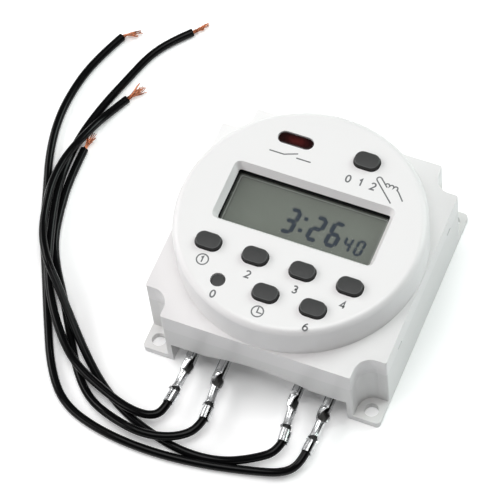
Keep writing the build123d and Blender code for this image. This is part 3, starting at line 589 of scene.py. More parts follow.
class TIMER_OT_stage(bpy.types.Operator):
    """Sets the camera, the floor and the soft lamps"""

    bl_idname = "timer.stage"
    bl_label = "Stage"

    def execute(self, context):
        stage = context.scene.timer_stage
        scene = context.scene
        az, el, roll = stage.azimuth, stage.elevation, stage.roll
        back = Vector((math.sin(az) * math.cos(el), -math.cos(az) * math.cos(el), math.sin(el)))
        right = Vector((math.cos(az), math.sin(az), 0))
        up = back.cross(right)
        turned_right = right * math.cos(roll) + up * math.sin(roll)
        turned_up = up * math.cos(roll) - right * math.sin(roll)
        camera = bpy.data.objects.new("camera", bpy.data.cameras.new("camera"))
        camera.data.lens = stage.lens
        camera.data.sensor_width = 36.0
        spot = Vector(stage.target) + back * stage.distance
        turn = Matrix((turned_right, turned_up, back)).transposed().to_4x4()
        camera.matrix_world = Matrix.Translation(spot) @ turn
        scene.collection.objects.link(camera)
        scene.camera = camera

        # The floor lies a hair under the object, so that the two don't share a plane
        mesh = bpy.data.meshes.new("floor")
        side = stage.floor_size / 2
        corners = [(-side, -side, 0), (side, -side, 0), (side, side, 0), (-side, side, 0)]
        mesh.from_pydata(corners, [], [(0, 1, 2, 3)])
        floor = bpy.data.objects.new("floor", mesh)
        floor.location.z = -0.01 * MM
        scene.collection.objects.link(floor)

        # Paper floor. It shows a little whiter than it lights the object, as a lit backdrop does
        material, tree = new_material("paper_floor")
        seen = directly_seen(tree)
        shown = (seen, tuple(stage.floor_colour), WHITE)
        colour = add_node(tree, "ShaderNodeMix", shown, data_type="RGBA")
        paper = add_node(tree, "ShaderNodeBsdfDiffuse", {"Color": colour})
        place = add_node(tree, "ShaderNodeTexCoord").outputs["Object"]
        away = add_node(tree, "ShaderNodeVectorMath", (place,), operation="LENGTH")
        # Within 31 mm of its middle it is lifted least, so that the shadow under the case stays dark
        lift = add_node(tree, "ShaderNodeMapRange", (away, 0.031, 0.039, 0.06, 0.19))
        lift_seen = add_node(tree, "ShaderNodeMath", (lift, seen), operation="MULTIPLY")
        glow = add_node(tree, "ShaderNodeEmission", (WHITE, lift_seen))
        both = add_node(tree, "ShaderNodeAddShader", (paper, glow))
        # Far from the object it runs on into the white backdrop
        far = add_node(tree, "ShaderNodeMapRange", (away, 0.22, 0.6, 0.0, 1.0))
        far_seen = add_node(tree, "ShaderNodeMath", (far, seen), operation="MULTIPLY")
        white = add_node(tree, "ShaderNodeEmission", (WHITE, 1.0))
        surface = add_node(tree, "ShaderNodeMixShader", (far_seen, both, white))
        add_node(tree, "ShaderNodeOutputMaterial", {"Surface": surface})
        mesh.materials.append(material)

        for name, spot, size, power, tint in LAMPS:
            lamp = bpy.data.lights.new(name, "AREA")
            lamp.shape = "RECTANGLE"
            lamp.size = lamp.size_y = size
            lamp.energy = power
            lamp.color = tint
            holder = bpy.data.objects.new(name, lamp)
            holder.location = spot
            holder.rotation_euler = Vector(spot).to_track_quat("Z", "Y").to_euler()
            scene.collection.objects.link(holder)

        # The room beyond the lamps, nearly dark, with a white backdrop low down
        world = bpy.data.worlds.new("studio")
        world.use_nodes = True
        tree = world.node_tree
        tree.nodes.clear()
        direction = add_node(tree, "ShaderNodeTexCoord").outputs["Generated"]
        height = add_node(tree, "ShaderNodeSeparateXYZ", (direction,)).outputs["Z"]
        share = add_node(tree, "ShaderNodeMapRange", (height, 0.05, 0.75, 0.0, 1.0))
        darker, paler = (0.02, 0.02, 0.02), (0.05, 0.05, 0.05)
        room = add_node(tree, "ShaderNodeMix", (share, darker, paler), data_type="RGBA")
        low_down = add_node(tree, "ShaderNodeMapRange", (height, 0.08, 0.16, 1.0, 0.0))
        backdrop = add_node(tree, "ShaderNodeMath", (low_down, directly_seen(tree)), operation="MULTIPLY")
        sky = add_node(tree, "ShaderNodeMix", (backdrop, room, WHITE), data_type="RGBA")
        light = add_node(tree, "ShaderNodeBackground", (sky, 1.0))
        add_node(tree, "ShaderNodeOutputWorld", {"Surface": light})
        scene.world = world
        scene.view_settings.view_transform = "Standard"
        return {"FINISHED"}


class TIMER_OT_terminals(bpy.types.Operator):
    """Forms the four crimped receptacles from bent sheet, with the wire in them"""

    bl_idname = "timer.terminals"
    bl_label = "Terminals"

    def execute(self, context):
        terminal = context.scene.timer_terminals
        lead = context.scene.timer_leads
        # Brass strip, hot-dip tinned and stamped: bright, with soft drag marks and dull blooms
        along_strip = (1.0, 0.35, 1.0)
        tin = worked_metal(
            "brass_strip_tinned", tuple(terminal.colour), 0.22, 0.5, 0.012, along_strip, linear("#C4C5C6")
        )
        # The same strip inside the bends, with painted shade: dark, and dull
        dull = worked_metal("brass_strip_painted_shade", linear("#8A8A88"), 0.62, 0.5, 0.02)
        # Copper, drawn and bunched: warm, a little dulled by air
        copper = worked_metal("copper_drawn", tuple(lead.strand_colour), 0.32, 0.25, 0.004)
        # PVC, cut through by the stripping blade: black and duller than its skin
        cut = moulded_plastic("pvc_cut_black", tuple(lead.colour), 0.5, 0.3, 0.02, tone=0.2)
        # The bared wire that runs through the crimp, and the end of the insulation behind it: where each
        # starts and ends along the receptacle, its radius and how far it lies beside the tab's middle
        wires = (
            ("crimped_strands", NECK_END + 0.15, CRIMP_END + 0.05, 0.62, 0.3, copper, "strand_copper"),
            ("insulation_end", CRIMP_END + 0.12, GRIP_END - 2.6, 1.0, 0.55, cut, "lead_black"),
        )
        stations = receptacle_stations()
        for number in range(1, 5):
            node = f"receptacle_{number}"
            low, high = box_mm(node)
            tab_x = middle_mm(f"spade_tab_{number}").x
            middle_z = (low.z + high.z) / 2
            rings = []
            for along, profile in stations:
                shift = tab_x + crimp_shift(number, along)
                outline = crimp_turned(number, along, thickened(profile))
                rings.append([(shift + u, high.y - along, middle_z + w) for u, w in outline])
            shape = bmesh.new()
            made = skin_rings(shape, rings)
            last = 2 * SHEET_POINTS - 1
            # The inner side of the sheet, painted dark as painted shade, and dull
            for n, face in enumerate(shape.faces):
                if SHEET_POINTS <= n % (2 * SHEET_POINTS) < last:
                    face.material_index = 1
            for ring in (made[0], made[-1]):
                for n in range(SHEET_POINTS - 1):
                    shape.faces.new((ring[n], ring[n + 1], ring[last - n - 1], ring[last - n]))
            sheet = add_mesh(f"receptacle_sheet_{number}", shape, [tin, dull])
            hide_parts(node)

            for name, start, end, radius, aside, material, slot in wires:
                rings = []
                # The cut edge is a little rounded
                for along, share in ((start, 0.72), (start + 0.18, 1.0), (end, 1.0)):
                    middle = (tab_x + aside + crimp_shift(number, along), middle_z)
                    circle = arc_points(middle, radius * share, 0, 360, 20)[:-1]
                    rings.append([(x, high.y - along, z) for x, z in circle])
                shape = bmesh.new()
                made = skin_rings(shape, rings)
                shape.faces.new(made[0])
                shape.faces.new(made[-1])
                add_mesh(f"{name}_{number}", shape, [material])
        return {"FINISHED"}


# How each stripped end frays: its length and spread in millimetres, its twist in turns, and the way
# its strands bend over, in millimetres at the tip
FRAYS = {
    1: (4.8, 0.3, 0.8, (0.3, 0.3, 0.3)),
    2: (4.8, 1.0, 0.2, (0.6, 0.2, 0.8)),
    3: (5.0, 1.3, 0.3, (0.8, 0.5, 0.9)),
    4: (5.4, 0.1, 0.4, (2.1, -1.5, 0.2)),
}
# Turn from one strand to the next that spreads them evenly, in radians, and the bunch's radius in
# millimetres
STRAND_TURN, BUNCH_RADIUS = 2.39996, 0.52


class TIMER_OT_strands(bpy.types.Operator):
    """Frays the copper strands out of the four stripped ends"""

    bl_idname = "timer.strands"
    bl_label = "Stripped ends"

    def execute(self, context):
        lead = context.scene.timer_leads
        count = lead.strand_count
        # Copper, drawn and bunched: warm, a little dulled by air
        copper = worked_metal(
            "copper_strand_drawn", tuple(lead.strand_colour), 0.24, 0.25, 0.004, tarnish=linear("#8E4A30")
        )
        for number, (length, spread, twist, bend) in FRAYS.items():
            before, last = (Vector(point) for point in LEAD_ROUTES[f"lead_{number}"][-2:])
            way = (last - before).normalized()
            across = way.cross(Vector((0, 0, 1))).normalized()
            rise = across.cross(way)
            curve = new_curve(f"strands_{number}", copper, lead.strand_diameter, 2, 6)
            for n in range(count):
                ring = BUNCH_RADIUS * math.sqrt((n + 0.5) / count)
                # Some strands stray further and reach further than others
                stray = 0.55 + 0.45 * math.sin(n * 5.1 + number)
                reach = length * (0.8 + 0.2 * math.sin(n * 3.7 + number * 2))
                points = []
                for step in range(9):
                    share = step / 8
                    angle = n * STRAND_TURN + math.tau * twist * share
                    angle += 0.5 * stray * math.sin(5 * share + n)
                    out = ring * (1 - 0.35 * math.sin(math.pi * share)) + spread * stray * share**2
                    # Each starts half a millimetre inside the insulation
                    point = last + way * (reach * share - 0.5) + across * (out * math.cos(angle))
                    point += rise * (out * math.sin(angle)) + Vector(bend) * share**2
                    # None dips into the floor, and no two lie at one height
                    point.z = max(point.z, 0.14 + 0.02 * n / count)
                    points.append(point)
                add_line(curve, points)
            piece = place_piece(f"strands_{number}", curve)
            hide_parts(f"bare_end_{number}")
        return {"FINISHED"}


class TIMER_OT_leads(bpy.types.Operator):
    """Lays the four insulated leads on the floor"""

    bl_idname = "timer.leads"
    bl_label = "Leads"

    def execute(self, context):
        lead = context.scene.timer_leads
        # PVC insulation, extruded: black, smooth, with a long soft shine and a faint waviness
        shine = {"Specular IOR Level": 0.13}
        black = moulded_plastic("pvc_extruded_black", tuple(lead.colour), 0.15, 1.2, 0.012, 0.2, shine)
        for number, (node, route) in enumerate(LEAD_ROUTES.items(), start=1):
            # Inside the grip and just behind it the lead leans with its crimp
            shift = Vector((crimp_shift(number, GRIP_END), 0, 0))
            points = [Vector(point) + shift * (n < 2) for n, point in enumerate(route)]
            curve = new_curve(f"insulation_{number}", black, lead.diameter, 5, 10)
            add_line(curve, points)
            piece = place_piece(f"insulation_{number}", curve)
            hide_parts(node)
        return {"FINISHED"}


class TIMER_OT_housing(bpy.types.Operator):
    """Finishes the case and its cover, and eases their moulded edges"""

    bl_idname = "timer.housing"
    bl_label = "Case"

    def execute(self, context):
        case = context.scene.timer_housing
        # ABS, injection moulded in a polished mould: white, evenly glossy, with the finest grain
        cover = moulded_plastic("abs_polished_white", tuple(case.colour), case.roughness, 0.5, 0.0012, 0.015)
        # ABS, injection moulded in a plainer mould: a slightly greyer white, a little less glossy
        gloss = case.roughness * 1.15
        tub = moulded_plastic("abs_moulded_white", tuple(case.tub_colour), gloss, 0.4, 0.002, 0.015)
        for node, material in (("front_cover", cover), ("rear_case", tub)):
            dress(node, material)
            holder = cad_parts[node]
            weld = holder.modifiers.new("joined_points", "WELD")
            weld.merge_threshold = 0.002 * MM
            ease = holder.modifiers.new("eased_edges", "BEVEL")
            ease.limit_method = "ANGLE"
            ease.angle_limit = math.radians(50)
            ease.width = case.edge
            ease.segments = 2
            ease.harden_normals = True
        return {"FINISHED"}


# Under the face a key spreads into a flange, in millimetres: how far it stands out all round, how far its
# top lies below the face, and its thickness
KEY_FLANGE, FLANGE_DEPTH, FLANGE_THICK = 0.5, 2.2, 1.1
# Below it the key stands on a square stem: its side and its corner radius
STEM_WIDE, STEM_CORNER = 2.4, 0.3
# An oval key: corner radius of its top and of its flange, draft of its sides and height of its crown
OVAL_CORNER, OVAL_FLANGE_CORNER, OVAL_DRAFT, OVAL_CROWN = 1.95, 1.7, 0.1, 0.42
# The reset button: height of its crown and rounding of its rim
RESET_CROWN, RESET_EDGE = 0.3, 0.3
# Share of a crown's height that lies inside its rounded rim
KEY_DOME = 0.28
# A corner radius this much under half the width leaves the outline of a round piece without doubled points
ROUND_GAP = 0.001


class TIMER_OT_keys(bpy.types.Operator):
    """Makes the seven oval keys and the round reset button"""

    bl_idname = "timer.keys"
    bl_label = "Keys"

    def execute(self, context):
        keys = context.scene.timer_keys
        # ABS, moulded in spark-eroded steel: dark grey, satin, with a fine even grain. The sides are painted
        # near black as painted shade, and the rim of the top is painted paler as a painted highlight, by
        # which way each surface faces
        material, tree = new_material("abs_eroded_dark_grey")
        place = add_node(tree, "ShaderNodeTexCoord").outputs["Object"]
        facing = add_node(tree, "ShaderNodeNewGeometry").outputs["Normal"]
        upright = add_node(tree, "ShaderNodeSeparateXYZ", (facing,)).outputs["Z"]
        grain = add_node(tree, "ShaderNodeTexNoise", (place, per_mm(0.13), 3.0))
        rim_mottle = add_node(tree, "ShaderNodeTexNoise", (place, per_mm(1.6), 4.0))
        rim_highlight_tones = (rim_mottle, tuple(keys.rim), scaled(keys.rim, 0.75))
        rim_highlight = add_node(tree, "ShaderNodeMix", rim_highlight_tones, data_type="RGBA")
        clouds = add_node(tree, "ShaderNodeTexNoise", (place, per_mm(1.1), 4.0))
        top_tones = (clouds, tuple(keys.colour), scaled(keys.colour, 0.85))
        worn_top = add_node(tree, "ShaderNodeMix", top_tones, data_type="RGBA")
        # Painted shade on the sides turns into the painted highlight of the rim as the surface turns upward
        side_shade_to_rim_highlight = add_node(tree, "ShaderNodeMapRange", (upright, 0.5, 0.8, 0.0, 1.0))
        side = add_node(tree, "ShaderNodeMix", (side_shade_to_rim_highlight, tuple(keys.side), rim_highlight), data_type="RGBA")
        # The painted highlight gives way to the top's own colour on the flat top
        rim_highlight_to_top = add_node(tree, "ShaderNodeMapRange", (upright, 0.93, 0.99, 0.0, 1.0))
        tint = add_node(tree, "ShaderNodeMix", (rim_highlight_to_top, side, worn_top), data_type="RGBA")
        gloss = add_node(tree, "ShaderNodeMapRange", (grain, 0.0, 1.0, 0.42, 0.52))
        shader = {"IOR": 1.5, "Specular IOR Level": 0.3}
        finish_material(material, tint, gloss, grain, 0.01, shader)

        flange_top = FACE_Z - FLANGE_DEPTH
        flange_under = flange_top - FLANGE_THICK
        for node in (*OVAL_KEYS, RESET):
            low, high = box_mm(node)
            middle = middle_mm(node)
            width, depth = high.x - low.x - 2 * KEY_FLANGE, high.y - low.y - 2 * KEY_FLANGE
            if node == RESET:
                radius = width / 2 - ROUND_GAP
                flange_radius = radius + KEY_FLANGE
                draft, crown, edge = 0.0, RESET_CROWN, RESET_EDGE
            else:
                radius, flange_radius = OVAL_CORNER, OVAL_FLANGE_CORNER
                draft, crown, edge = OVAL_DRAFT, OVAL_CROWN, keys.edge / MM
            rim = high.z - crown
            stem = (STEM_WIDE, STEM_WIDE, STEM_CORNER)
            flange = (width + 2 * KEY_FLANGE, depth + 2 * KEY_FLANGE, flange_radius)
            body = (width, depth, radius)
            top = (width - 2 * draft, depth - 2 * draft, radius - draft)
            sections = (
                (stem, low.z),
                (stem, flange_under),
                (flange, flange_under),
                (flange, flange_top),
                (body, flange_top),
                # The straight sides end at the face, or just under the rim of a key that is low
                (body, min(FACE_Z, rim - 0.05)),
                (top, rim),
            )
            rings = [rounded_outline(middle, *size, z) for size, z in sections]
            rings += crowned_top(middle, *top, rim, high.z, edge, KEY_DOME)
            shape = capped_solid(rings, low.z, high.z)
            cap = add_mesh(f"{node}_cap", shape, [material], body=node)
            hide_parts(node)
        return {"FINISHED"}


# The lens's flange and how far it lies below the face, its crown and its rim's rounding, in millimetres
LENS_FLANGE, LENS_FLANGE_DEPTH, LENS_CROWN, LENS_EDGE = 0.9, 2.0, 0.35, 0.3
# Share of the crown's height that lies inside its rounded rim
LENS_DOME = 0.1


class TIMER_OT_lamp(bpy.types.Operator):
    """Makes the domed lens of the status lamp"""

    bl_idname = "timer.lamp"
    bl_label = "Lamp"

    def execute(self, context):
        lamp = context.scene.timer_lamp
        low, high = box_mm("lamp_lens")
        middle = middle_mm("lamp_lens")
        flange_top = FACE_Z - LENS_FLANGE_DEPTH
        width, depth = high.x - low.x - 2 * LENS_FLANGE, high.y - low.y - 2 * LENS_FLANGE
        radius = depth / 2 - ROUND_GAP
        rim = high.z - LENS_CROWN
        flange = (width + 2 * LENS_FLANGE, depth + 2 * LENS_FLANGE, radius + LENS_FLANGE)
        body = (width, depth, radius)
        sections = ((flange, low.z), (flange, flange_top), (body, flange_top), (body, rim))
        rings = [rounded_outline(middle, *size, z) for size, z in sections]
        rings += crowned_top(middle, *body, rim, high.z, LENS_EDGE, LENS_DOME)
        shape = capped_solid(rings, low.z, high.z)

        # Acrylic, moulded and dyed through: nearly black and glossy, with a painted glow of the lamp behind
        # it, red over the lamp and thinning out towards the rim
        material, tree = new_material("acrylic_moulded_dark_red")
        place = add_node(tree, "ShaderNodeTexCoord").outputs["Object"]
        # The painted glow lies over the lamp, a little beside the lens's middle, and thins out within this
        # reach
        over_lamp = ((middle.x + 0.3) * MM, middle.y * MM, high.z * MM)
        reach = (width * 0.42 * MM, depth * 0.5 * MM, 4 * MM)
        spot = {"Vector": place, "Location": over_lamp, "Scale": reach}
        centred = add_node(tree, "ShaderNodeMapping", spot, vector_type="TEXTURE")
        away = add_node(tree, "ShaderNodeVectorMath", (centred,), operation="LENGTH")
        wisps = add_node(tree, "ShaderNodeTexNoise", (place, per_mm(0.9), 3.0))
        glow_distance = add_node(tree, "ShaderNodeMath", (wisps, 0.5, away), operation="MULTIPLY_ADD")
        share = add_node(tree, "ShaderNodeMapRange", (glow_distance, 1.15, 0.3, 0.0, 1.0))
        red = (share, tuple(lamp.colour), tuple(lamp.glow))
        # Painted glow: nearly black at the rim, red over the lamp
        tint = add_node(tree, "ShaderNodeMix", red, data_type="RGBA")
        ripple = add_node(tree, "ShaderNodeTexNoise", (place, per_mm(1.1), 3.0))
        gloss = add_node(tree, "ShaderNodeMapRange", (ripple, 0.0, 1.0, 0.1, 0.18))
        finish_material(material, tint, gloss, ripple, 0.004, {"IOR": 1.49})
        lens = add_mesh("lamp_lens_dome", shape, [material])
        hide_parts("lamp_lens")
        return {"FINISHED"}


# Segments lit for each number: top, upper right, lower right, bottom, lower left, upper left, middle
SEGMENTS = {
    "0": "abcdef",
    "1": "bc",
    "2": "abged",
    "3": "abgcd",
    "4": "fgbc",
    "5": "afgcd",
    "6": "afgecd",
    "7": "abc",
    "8": "abcdefg",
    "9": "abcdfg",
}
# The numbers' lean in degrees, and as shares of a bar's thickness the gap at its ends and its pointed ends
LEAN_DEGREES, BAR_GAP, BAR_POINT = 5, 0.06, 0.36


def add_plate(shape, outline, low, high):
    """A flat solid between two heights, from the points round it."""
    for ring in skin_rings(shape, [[(x, y, z) for x, y in outline] for z in (low, high)]):
        shape.faces.new(ring)


def add_segments(shape, number, left, bottom, width, height, stroke, low, high):
    """A seven-segment number, leaning a little, as thin solid bars with pointed ends."""
    slant = math.tan(math.radians(LEAN_DEGREES))
    w = width - stroke
    h = (height - stroke) / 2
    ends = {
        "a": ((0, 2 * h), (w, 2 * h)),
        "b": ((w, 2 * h), (w, h)),
        "c": ((w, h), (w, 0)),
        "d": ((0, 0), (w, 0)),
        "e": ((0, h), (0, 0)),
        "f": ((0, 2 * h), (0, h)),
        "g": ((0, h), (w, h)),
    }
    corner = Vector((left + stroke / 2, bottom + stroke / 2))
    for key in SEGMENTS[number]:
        start, end = (Vector(point) for point in ends[key])
        way = (end - start).normalized()
        side = way.orthogonal() * (stroke / 2)
        start = start + way * (stroke * BAR_GAP)
        end = end - way * (stroke * BAR_GAP)
        shoulder = way * (stroke * BAR_POINT)
        outline = [start, start + shoulder + side, end - shoulder + side, end]
        outline += [end - shoulder - side, start + shoulder - side]
        add_plate(shape, [(corner.x + p.x + slant * p.y, corner.y + p.y) for p in outline], low, high)


def window_frame(middle, inner, outer):
    """A thin flat frame under the window, between two outlines given by width, depth and corner radius."""
    low, high = WINDOW_UNDER - 0.03, WINDOW_UNDER - 0.005
    sections = ((inner, low), (inner, high), (outer, high), (outer, low))
    shape = bmesh.new()
    skin_rings(shape, [rounded_outline(middle, *size, z) for size, z in sections], closed=True)
    return shape


# How far the window laps under the cover, in millimetres
WINDOW_LAP = 1.8
# Foot of the display's numbers below the window's middle, and thickness of its bars, in millimetres
NUMBERS_DOWN, BAR_THICK = 4.75, 0.02
# Places of the numbers on the display, in millimetres: left edge, width, and thickness of a bar, with the
# share of the full height. Two large ones stand after the colon, and two small ones at the end
NUMBER_PLACES = (
    (-4.75, 3.3, 1.02, 1.0),
    (1.7, 3.3, 1.02, 1.0),
    (6.2, 3.3, 1.02, 1.0),
    (10.6, 2.1, 0.62, 0.6),
    (13.6, 2.1, 0.62, 0.6),
)
# The colon's two dots: their places, sideways in millimetres and up as a share of the height, and their size
COLON = ((0.35, 0.73), (0.1, 0.27))
COLON_SIZE, COLON_CORNER = 0.95, 0.2
# Height of the bars and of their shadows over the glass, and how far the shadows fall aside, in millimetres
BARS_OVER, SHADOWS_OVER, SHADOW_ASIDE = 0.03, 0.004, 0.22


class TIMER_OT_display(bpy.types.Operator):
    """Finishes the window and the display cell, and sets its numbers"""

    bl_idname = "timer.display"
    bl_label = "Display"

    def execute(self, context):
        display = context.scene.timer_display
        low, high = box_mm("display_window")
        middle = middle_mm("display_window")
        width, depth = high.x - low.x - 2 * WINDOW_LAP, high.y - low.y - 2 * WINDOW_LAP

        # Polycarbonate, moulded clear: almost no colour, a sharp gloss
        see_through = {"Transmission Weight": 1.0, "Alpha": 0.12}
        pane = linear("#F6F8F6")
        clear = moulded_plastic("polycarbonate_moulded_clear", pane, 0.03, 6.0, 0.001, 0.005, see_through)
        dress("display_window", clear)

        # Polariser film on a reflector: grey-green, satin, with painted shade that darkens it towards the
        # edges of its cell
        material, tree = new_material("polariser_film_grey_green")
        ground = tuple(display.ground)
        place = add_node(tree, "ShaderNodeTexCoord").outputs["Object"]
        grain = add_node(tree, "ShaderNodeTexNoise", (place, per_mm(0.22), 2.0))
        cloud = add_node(tree, "ShaderNodeTexNoise", (place, per_mm(9.0), 2.0))
        axes = add_node(tree, "ShaderNodeSeparateXYZ", (place,))
        # The unshaded part lies a little beside the window's middle; painted shade darkens the ground from
        # 0.9 mm inside its edge
        shares = []
        for axis, centre, half in (("X", middle.x + 0.5, width / 2), ("Y", middle.y - 0.4, depth / 2)):
            along = (axes.outputs[axis], centre * MM)
            offset = add_node(tree, "ShaderNodeMath", along, operation="SUBTRACT")
            far = add_node(tree, "ShaderNodeMath", (offset,), operation="ABSOLUTE")
            edge_shade_range = (far, (half - 0.9) * MM, (half + 0.4) * MM, 1.0, 0.0)
            shares.append(add_node(tree, "ShaderNodeMapRange", edge_shade_range))
        inner = add_node(tree, "ShaderNodeMath", shares, operation="MULTIPLY")
        even = add_node(tree, "ShaderNodeMix", (cloud, scaled(ground, 0.93), ground), data_type="RGBA")
        # Painted shade: towards the edges the ground darkens to 0.3 of its colour
        tint = add_node(tree, "ShaderNodeMix", (inner, scaled(ground, 0.3), even), data_type="RGBA")
        gloss = add_node(tree, "ShaderNodeMapRange", (grain, 0.0, 1.0, 0.32, 0.42))
        finish_material(material, tint, gloss, grain, 0.002, {"IOR": 1.5})
        dress("display_glass", material)

        # Black ink on the back of the window round its clear part, to 0.1 mm from the pane's edge; along the
        # clear part's edge it also stands in for the shade under the face's overhang, as painted shade
        black = moulded_plastic("screen_ink_and_painted_shade_black", linear("#0E0E10"), 0.4, 0.4, 0.002, 0.1)
        outer = (width + 2 * WINDOW_LAP - 0.2, depth + 2 * WINDOW_LAP - 0.2, 1.5)
        mask = window_frame(middle, (width, depth, 0.6), outer)
        add_mesh("window_mask", mask, [black])

        # A thin pale line under the pane's polished edge: a painted highlight where the edge catches the
        # light
        pale = moulded_plastic("painted_edge_highlight_pale", linear("#B9BDB8"), 0.25, 0.6, 0.002, 0.25)
        far_size, near_size = (width - 1.3, depth - 1.3, 0.3), (width - 1.08, depth - 1.08, 0.35)
        add_mesh("window_edge_highlight", window_frame(middle, far_size, near_size), [pale])

        # Liquid crystal, switched dark: blue-grey bars, and the soft shadow that each throws on the reflector
        bars = moulded_plastic("liquid_crystal_dark", tuple(display.ink), 0.4, 0.5, 0.001, 0.12)
        shade = tuple(0.35 * a + 0.65 * b for a, b in zip(display.ink, display.ground))
        soft = moulded_plastic("liquid_crystal_shadow", shade, 0.4, 0.5, 0.001, 0.08)
        tall = display.height / MM
        foot = middle.y - NUMBERS_DOWN
        minutes, seconds = display.minutes, display.seconds
        signs = (display.hours, minutes[:1], minutes[1:], seconds[:1], seconds[1:])
        for name, material, start, shift in (
            ("number_shadows", soft, GLASS_TOP + SHADOWS_OVER, SHADOW_ASIDE),
            ("numbers", bars, GLASS_TOP + BARS_OVER, 0.0),
        ):
            shape = bmesh.new()
            end = start + BAR_THICK
            for sign, (left, wide, bar, share) in zip(signs, NUMBER_PLACES):
                add_segments(shape, sign, left - shift, foot + shift, wide, tall * share, bar, start, end)
            for x, share in COLON:
                centre = Vector((x - shift, foot + tall * share + shift))
                dot = rounded_outline(centre, COLON_SIZE, COLON_SIZE, COLON_CORNER, start, 3)
                add_plate(shape, [point[:2] for point in dot], start, end)
            add_mesh(f"display_{name}", shape, [material])
        return {"FINISHED"}


# Printed numbers: the piece that each stands by, the place of its middle from that piece's, in millimetres
PRINTED_NUMBERS = (
    ("upper_key_2", "2", (0.1, -4.85)),
    ("upper_key_3", "3", (0.1, -4.85)),
    ("upper_key_4", "4", (0.1, -4.85)),
    ("lower_key_2", "6", (0.1, -4.85)),
    (RESET, "0", (0.3, -3.8)),
    ("manual_key", "0 1 2", (0.6, -5.7)),
)
# Radius of the ring round a number and of the clock, and how far the ink reaches into the face and stands
# out of it, in millimetres
RING_RADIUS, INK_UNDER, INK_OVER = 1.38, 0.004, 0.012
# Thickness of a printed number's strokes, as a share of a printed line's
NUMBER_BOLD = 1.15


class TIMER_OT_marks(bpy.types.Operator):
    """Prints plain numbers and common signs on the face"""

    bl_idname = "timer.marks"
    bl_label = "Printed marks"

    def execute(self, context):
        marks = context.scene.timer_marks
        # Pad-printed ink: flat mid grey, thin, a little duller than the plastic under it
        ink = moulded_plastic("pad_print_grey", tuple(marks.colour), 0.5, 0.25, 0.002, 0.1)
        line = marks.line / MM
        tall = marks.height / MM
        low, high = FACE_Z - INK_UNDER, FACE_Z + INK_OVER
        shape = bmesh.new()
        for node, number, offset in PRINTED_NUMBERS:
            add_number(shape, number, middle_mm(node) + Vector(offset), tall, line * NUMBER_BOLD, low, high)

        # Ringed number under the first key, and a clock under the first lower key
        ringed = middle_mm("upper_key_1") + Vector((0.45, -4.75))
        add_number(shape, "1", ringed + Vector((-0.1, 0.0)), tall * 0.85, line, low, high)
        clock = middle_mm("lower_key_1") + Vector((0.0, -4.85))
        for middle in (ringed, clock):
            circle = arc_points(middle, RING_RADIUS, 0, 360, 48)[:-1]
            add_band(shape, circle, line, low, high, closed=True)
        hands = ((-0.08, 1.15), (-0.08, -0.26), (1.1, -0.26))

        # Sign of an open contact under the lamp
        lamp = middle_mm("lamp_lens")
        contact = ((-4.9, -4.5), (-1.25, -4.5), (1.9, -3.3))
        far_side = ((1.9, -4.5), (5.5, -4.5))
        for start, points in ((clock, hands), (lamp, contact), (lamp, far_side)):
            add_band(shape, [start + Vector(point) for point in points], line, low, high)

        # Sign of a pressing finger beside the manual key
        tip = middle_mm("manual_key") + Vector((3.95, -3.0))
        pointing = Matrix.Rotation(math.radians(-43), 2)
        finger = [(7.6, -0.6), (0.6, -0.6)] + arc_points((0.6, 0.0), 0.6, 270, 90, 8) + [(3.4, 0.6)]
        knuckles = [(2.5, 0.6)]
        for n in range(3):
            knuckles += arc_points((3.0 + 0.8 * n, 0.9 + 0.66 * n), 0.52, 170, 10, 6)
        knuckles += [(5.9, 2.35), (8.4, 2.1)]
        for points in (finger, knuckles):
            add_band(shape, [tip + pointing @ Vector(point) for point in points], line, low, high)
        add_mesh("printed_marks", shape, [ink])
        return {"FINISHED"}


# Plastics, resins and lacquers of the inner parts: name, colour and roughness, the width and depth of the
# skin's grain in millimetres, the share by which the tone changes, and the nodes with that finish
INNER_PLASTICS = (
    # Nylon, moulded: black, satin
    (
        "nylon_moulded_black", "#1B1B1C", 0.42, 0.3, 0.008, 0.1,
        ("display_frame", "push_switches", "board_link"),
    ),
    # Acetal, moulded: black with a waxy shine, as it slides
    (
        "acetal_moulded_black", "#161617", 0.3, 0.5, 0.004, 0.08,
        tuple(f"{node}_plunger" for node in (*OVAL_KEYS, RESET)),
    ),
    # Silicone, cut in strips: pinkish grey, matt, with the lines of its layers
    ("silicone_cut_pink_grey", "#A38C86", 0.6, 0.18, 0.02, 0.12, ("contact_strip",)),
    # Epoxy, moulded round a chip: black, dry
    ("epoxy_moulded_black", "#1E1F20", 0.55, 0.12, 0.01, 0.1, ("controller_chip", "rectifier_diodes")),
    # Epoxy, cast over the lamp's chip: red and clear
    ("epoxy_cast_red", "#B3241C", 0.12, 2.0, 0.002, 0.05, ("status_lamp",)),
    # Polyester, moulded: blue case of the relay, glossy
    ("polyester_moulded_blue", "#2A5A9C", 0.3, 0.8, 0.01, 0.06, ("relay",)),
    # Polyester, moulded box filled with resin: yellow
    ("polyester_moulded_yellow", "#D9B64A", 0.32, 1.0, 0.01, 0.08, ("film_capacitor",)),
    # Lacquer, dipped: blue disc with a soft uneven skin
    ("epoxy_dipped_blue", "#3E6FA8", 0.38, 1.3, 0.06, 0.12, ("varistor",)),
    # Lacquer, dipped: grey-green body of the dropper resistor
    ("lacquer_dipped_grey", "#7C8780", 0.45, 0.9, 0.04, 0.12, ("dropper_resistor",)),
)
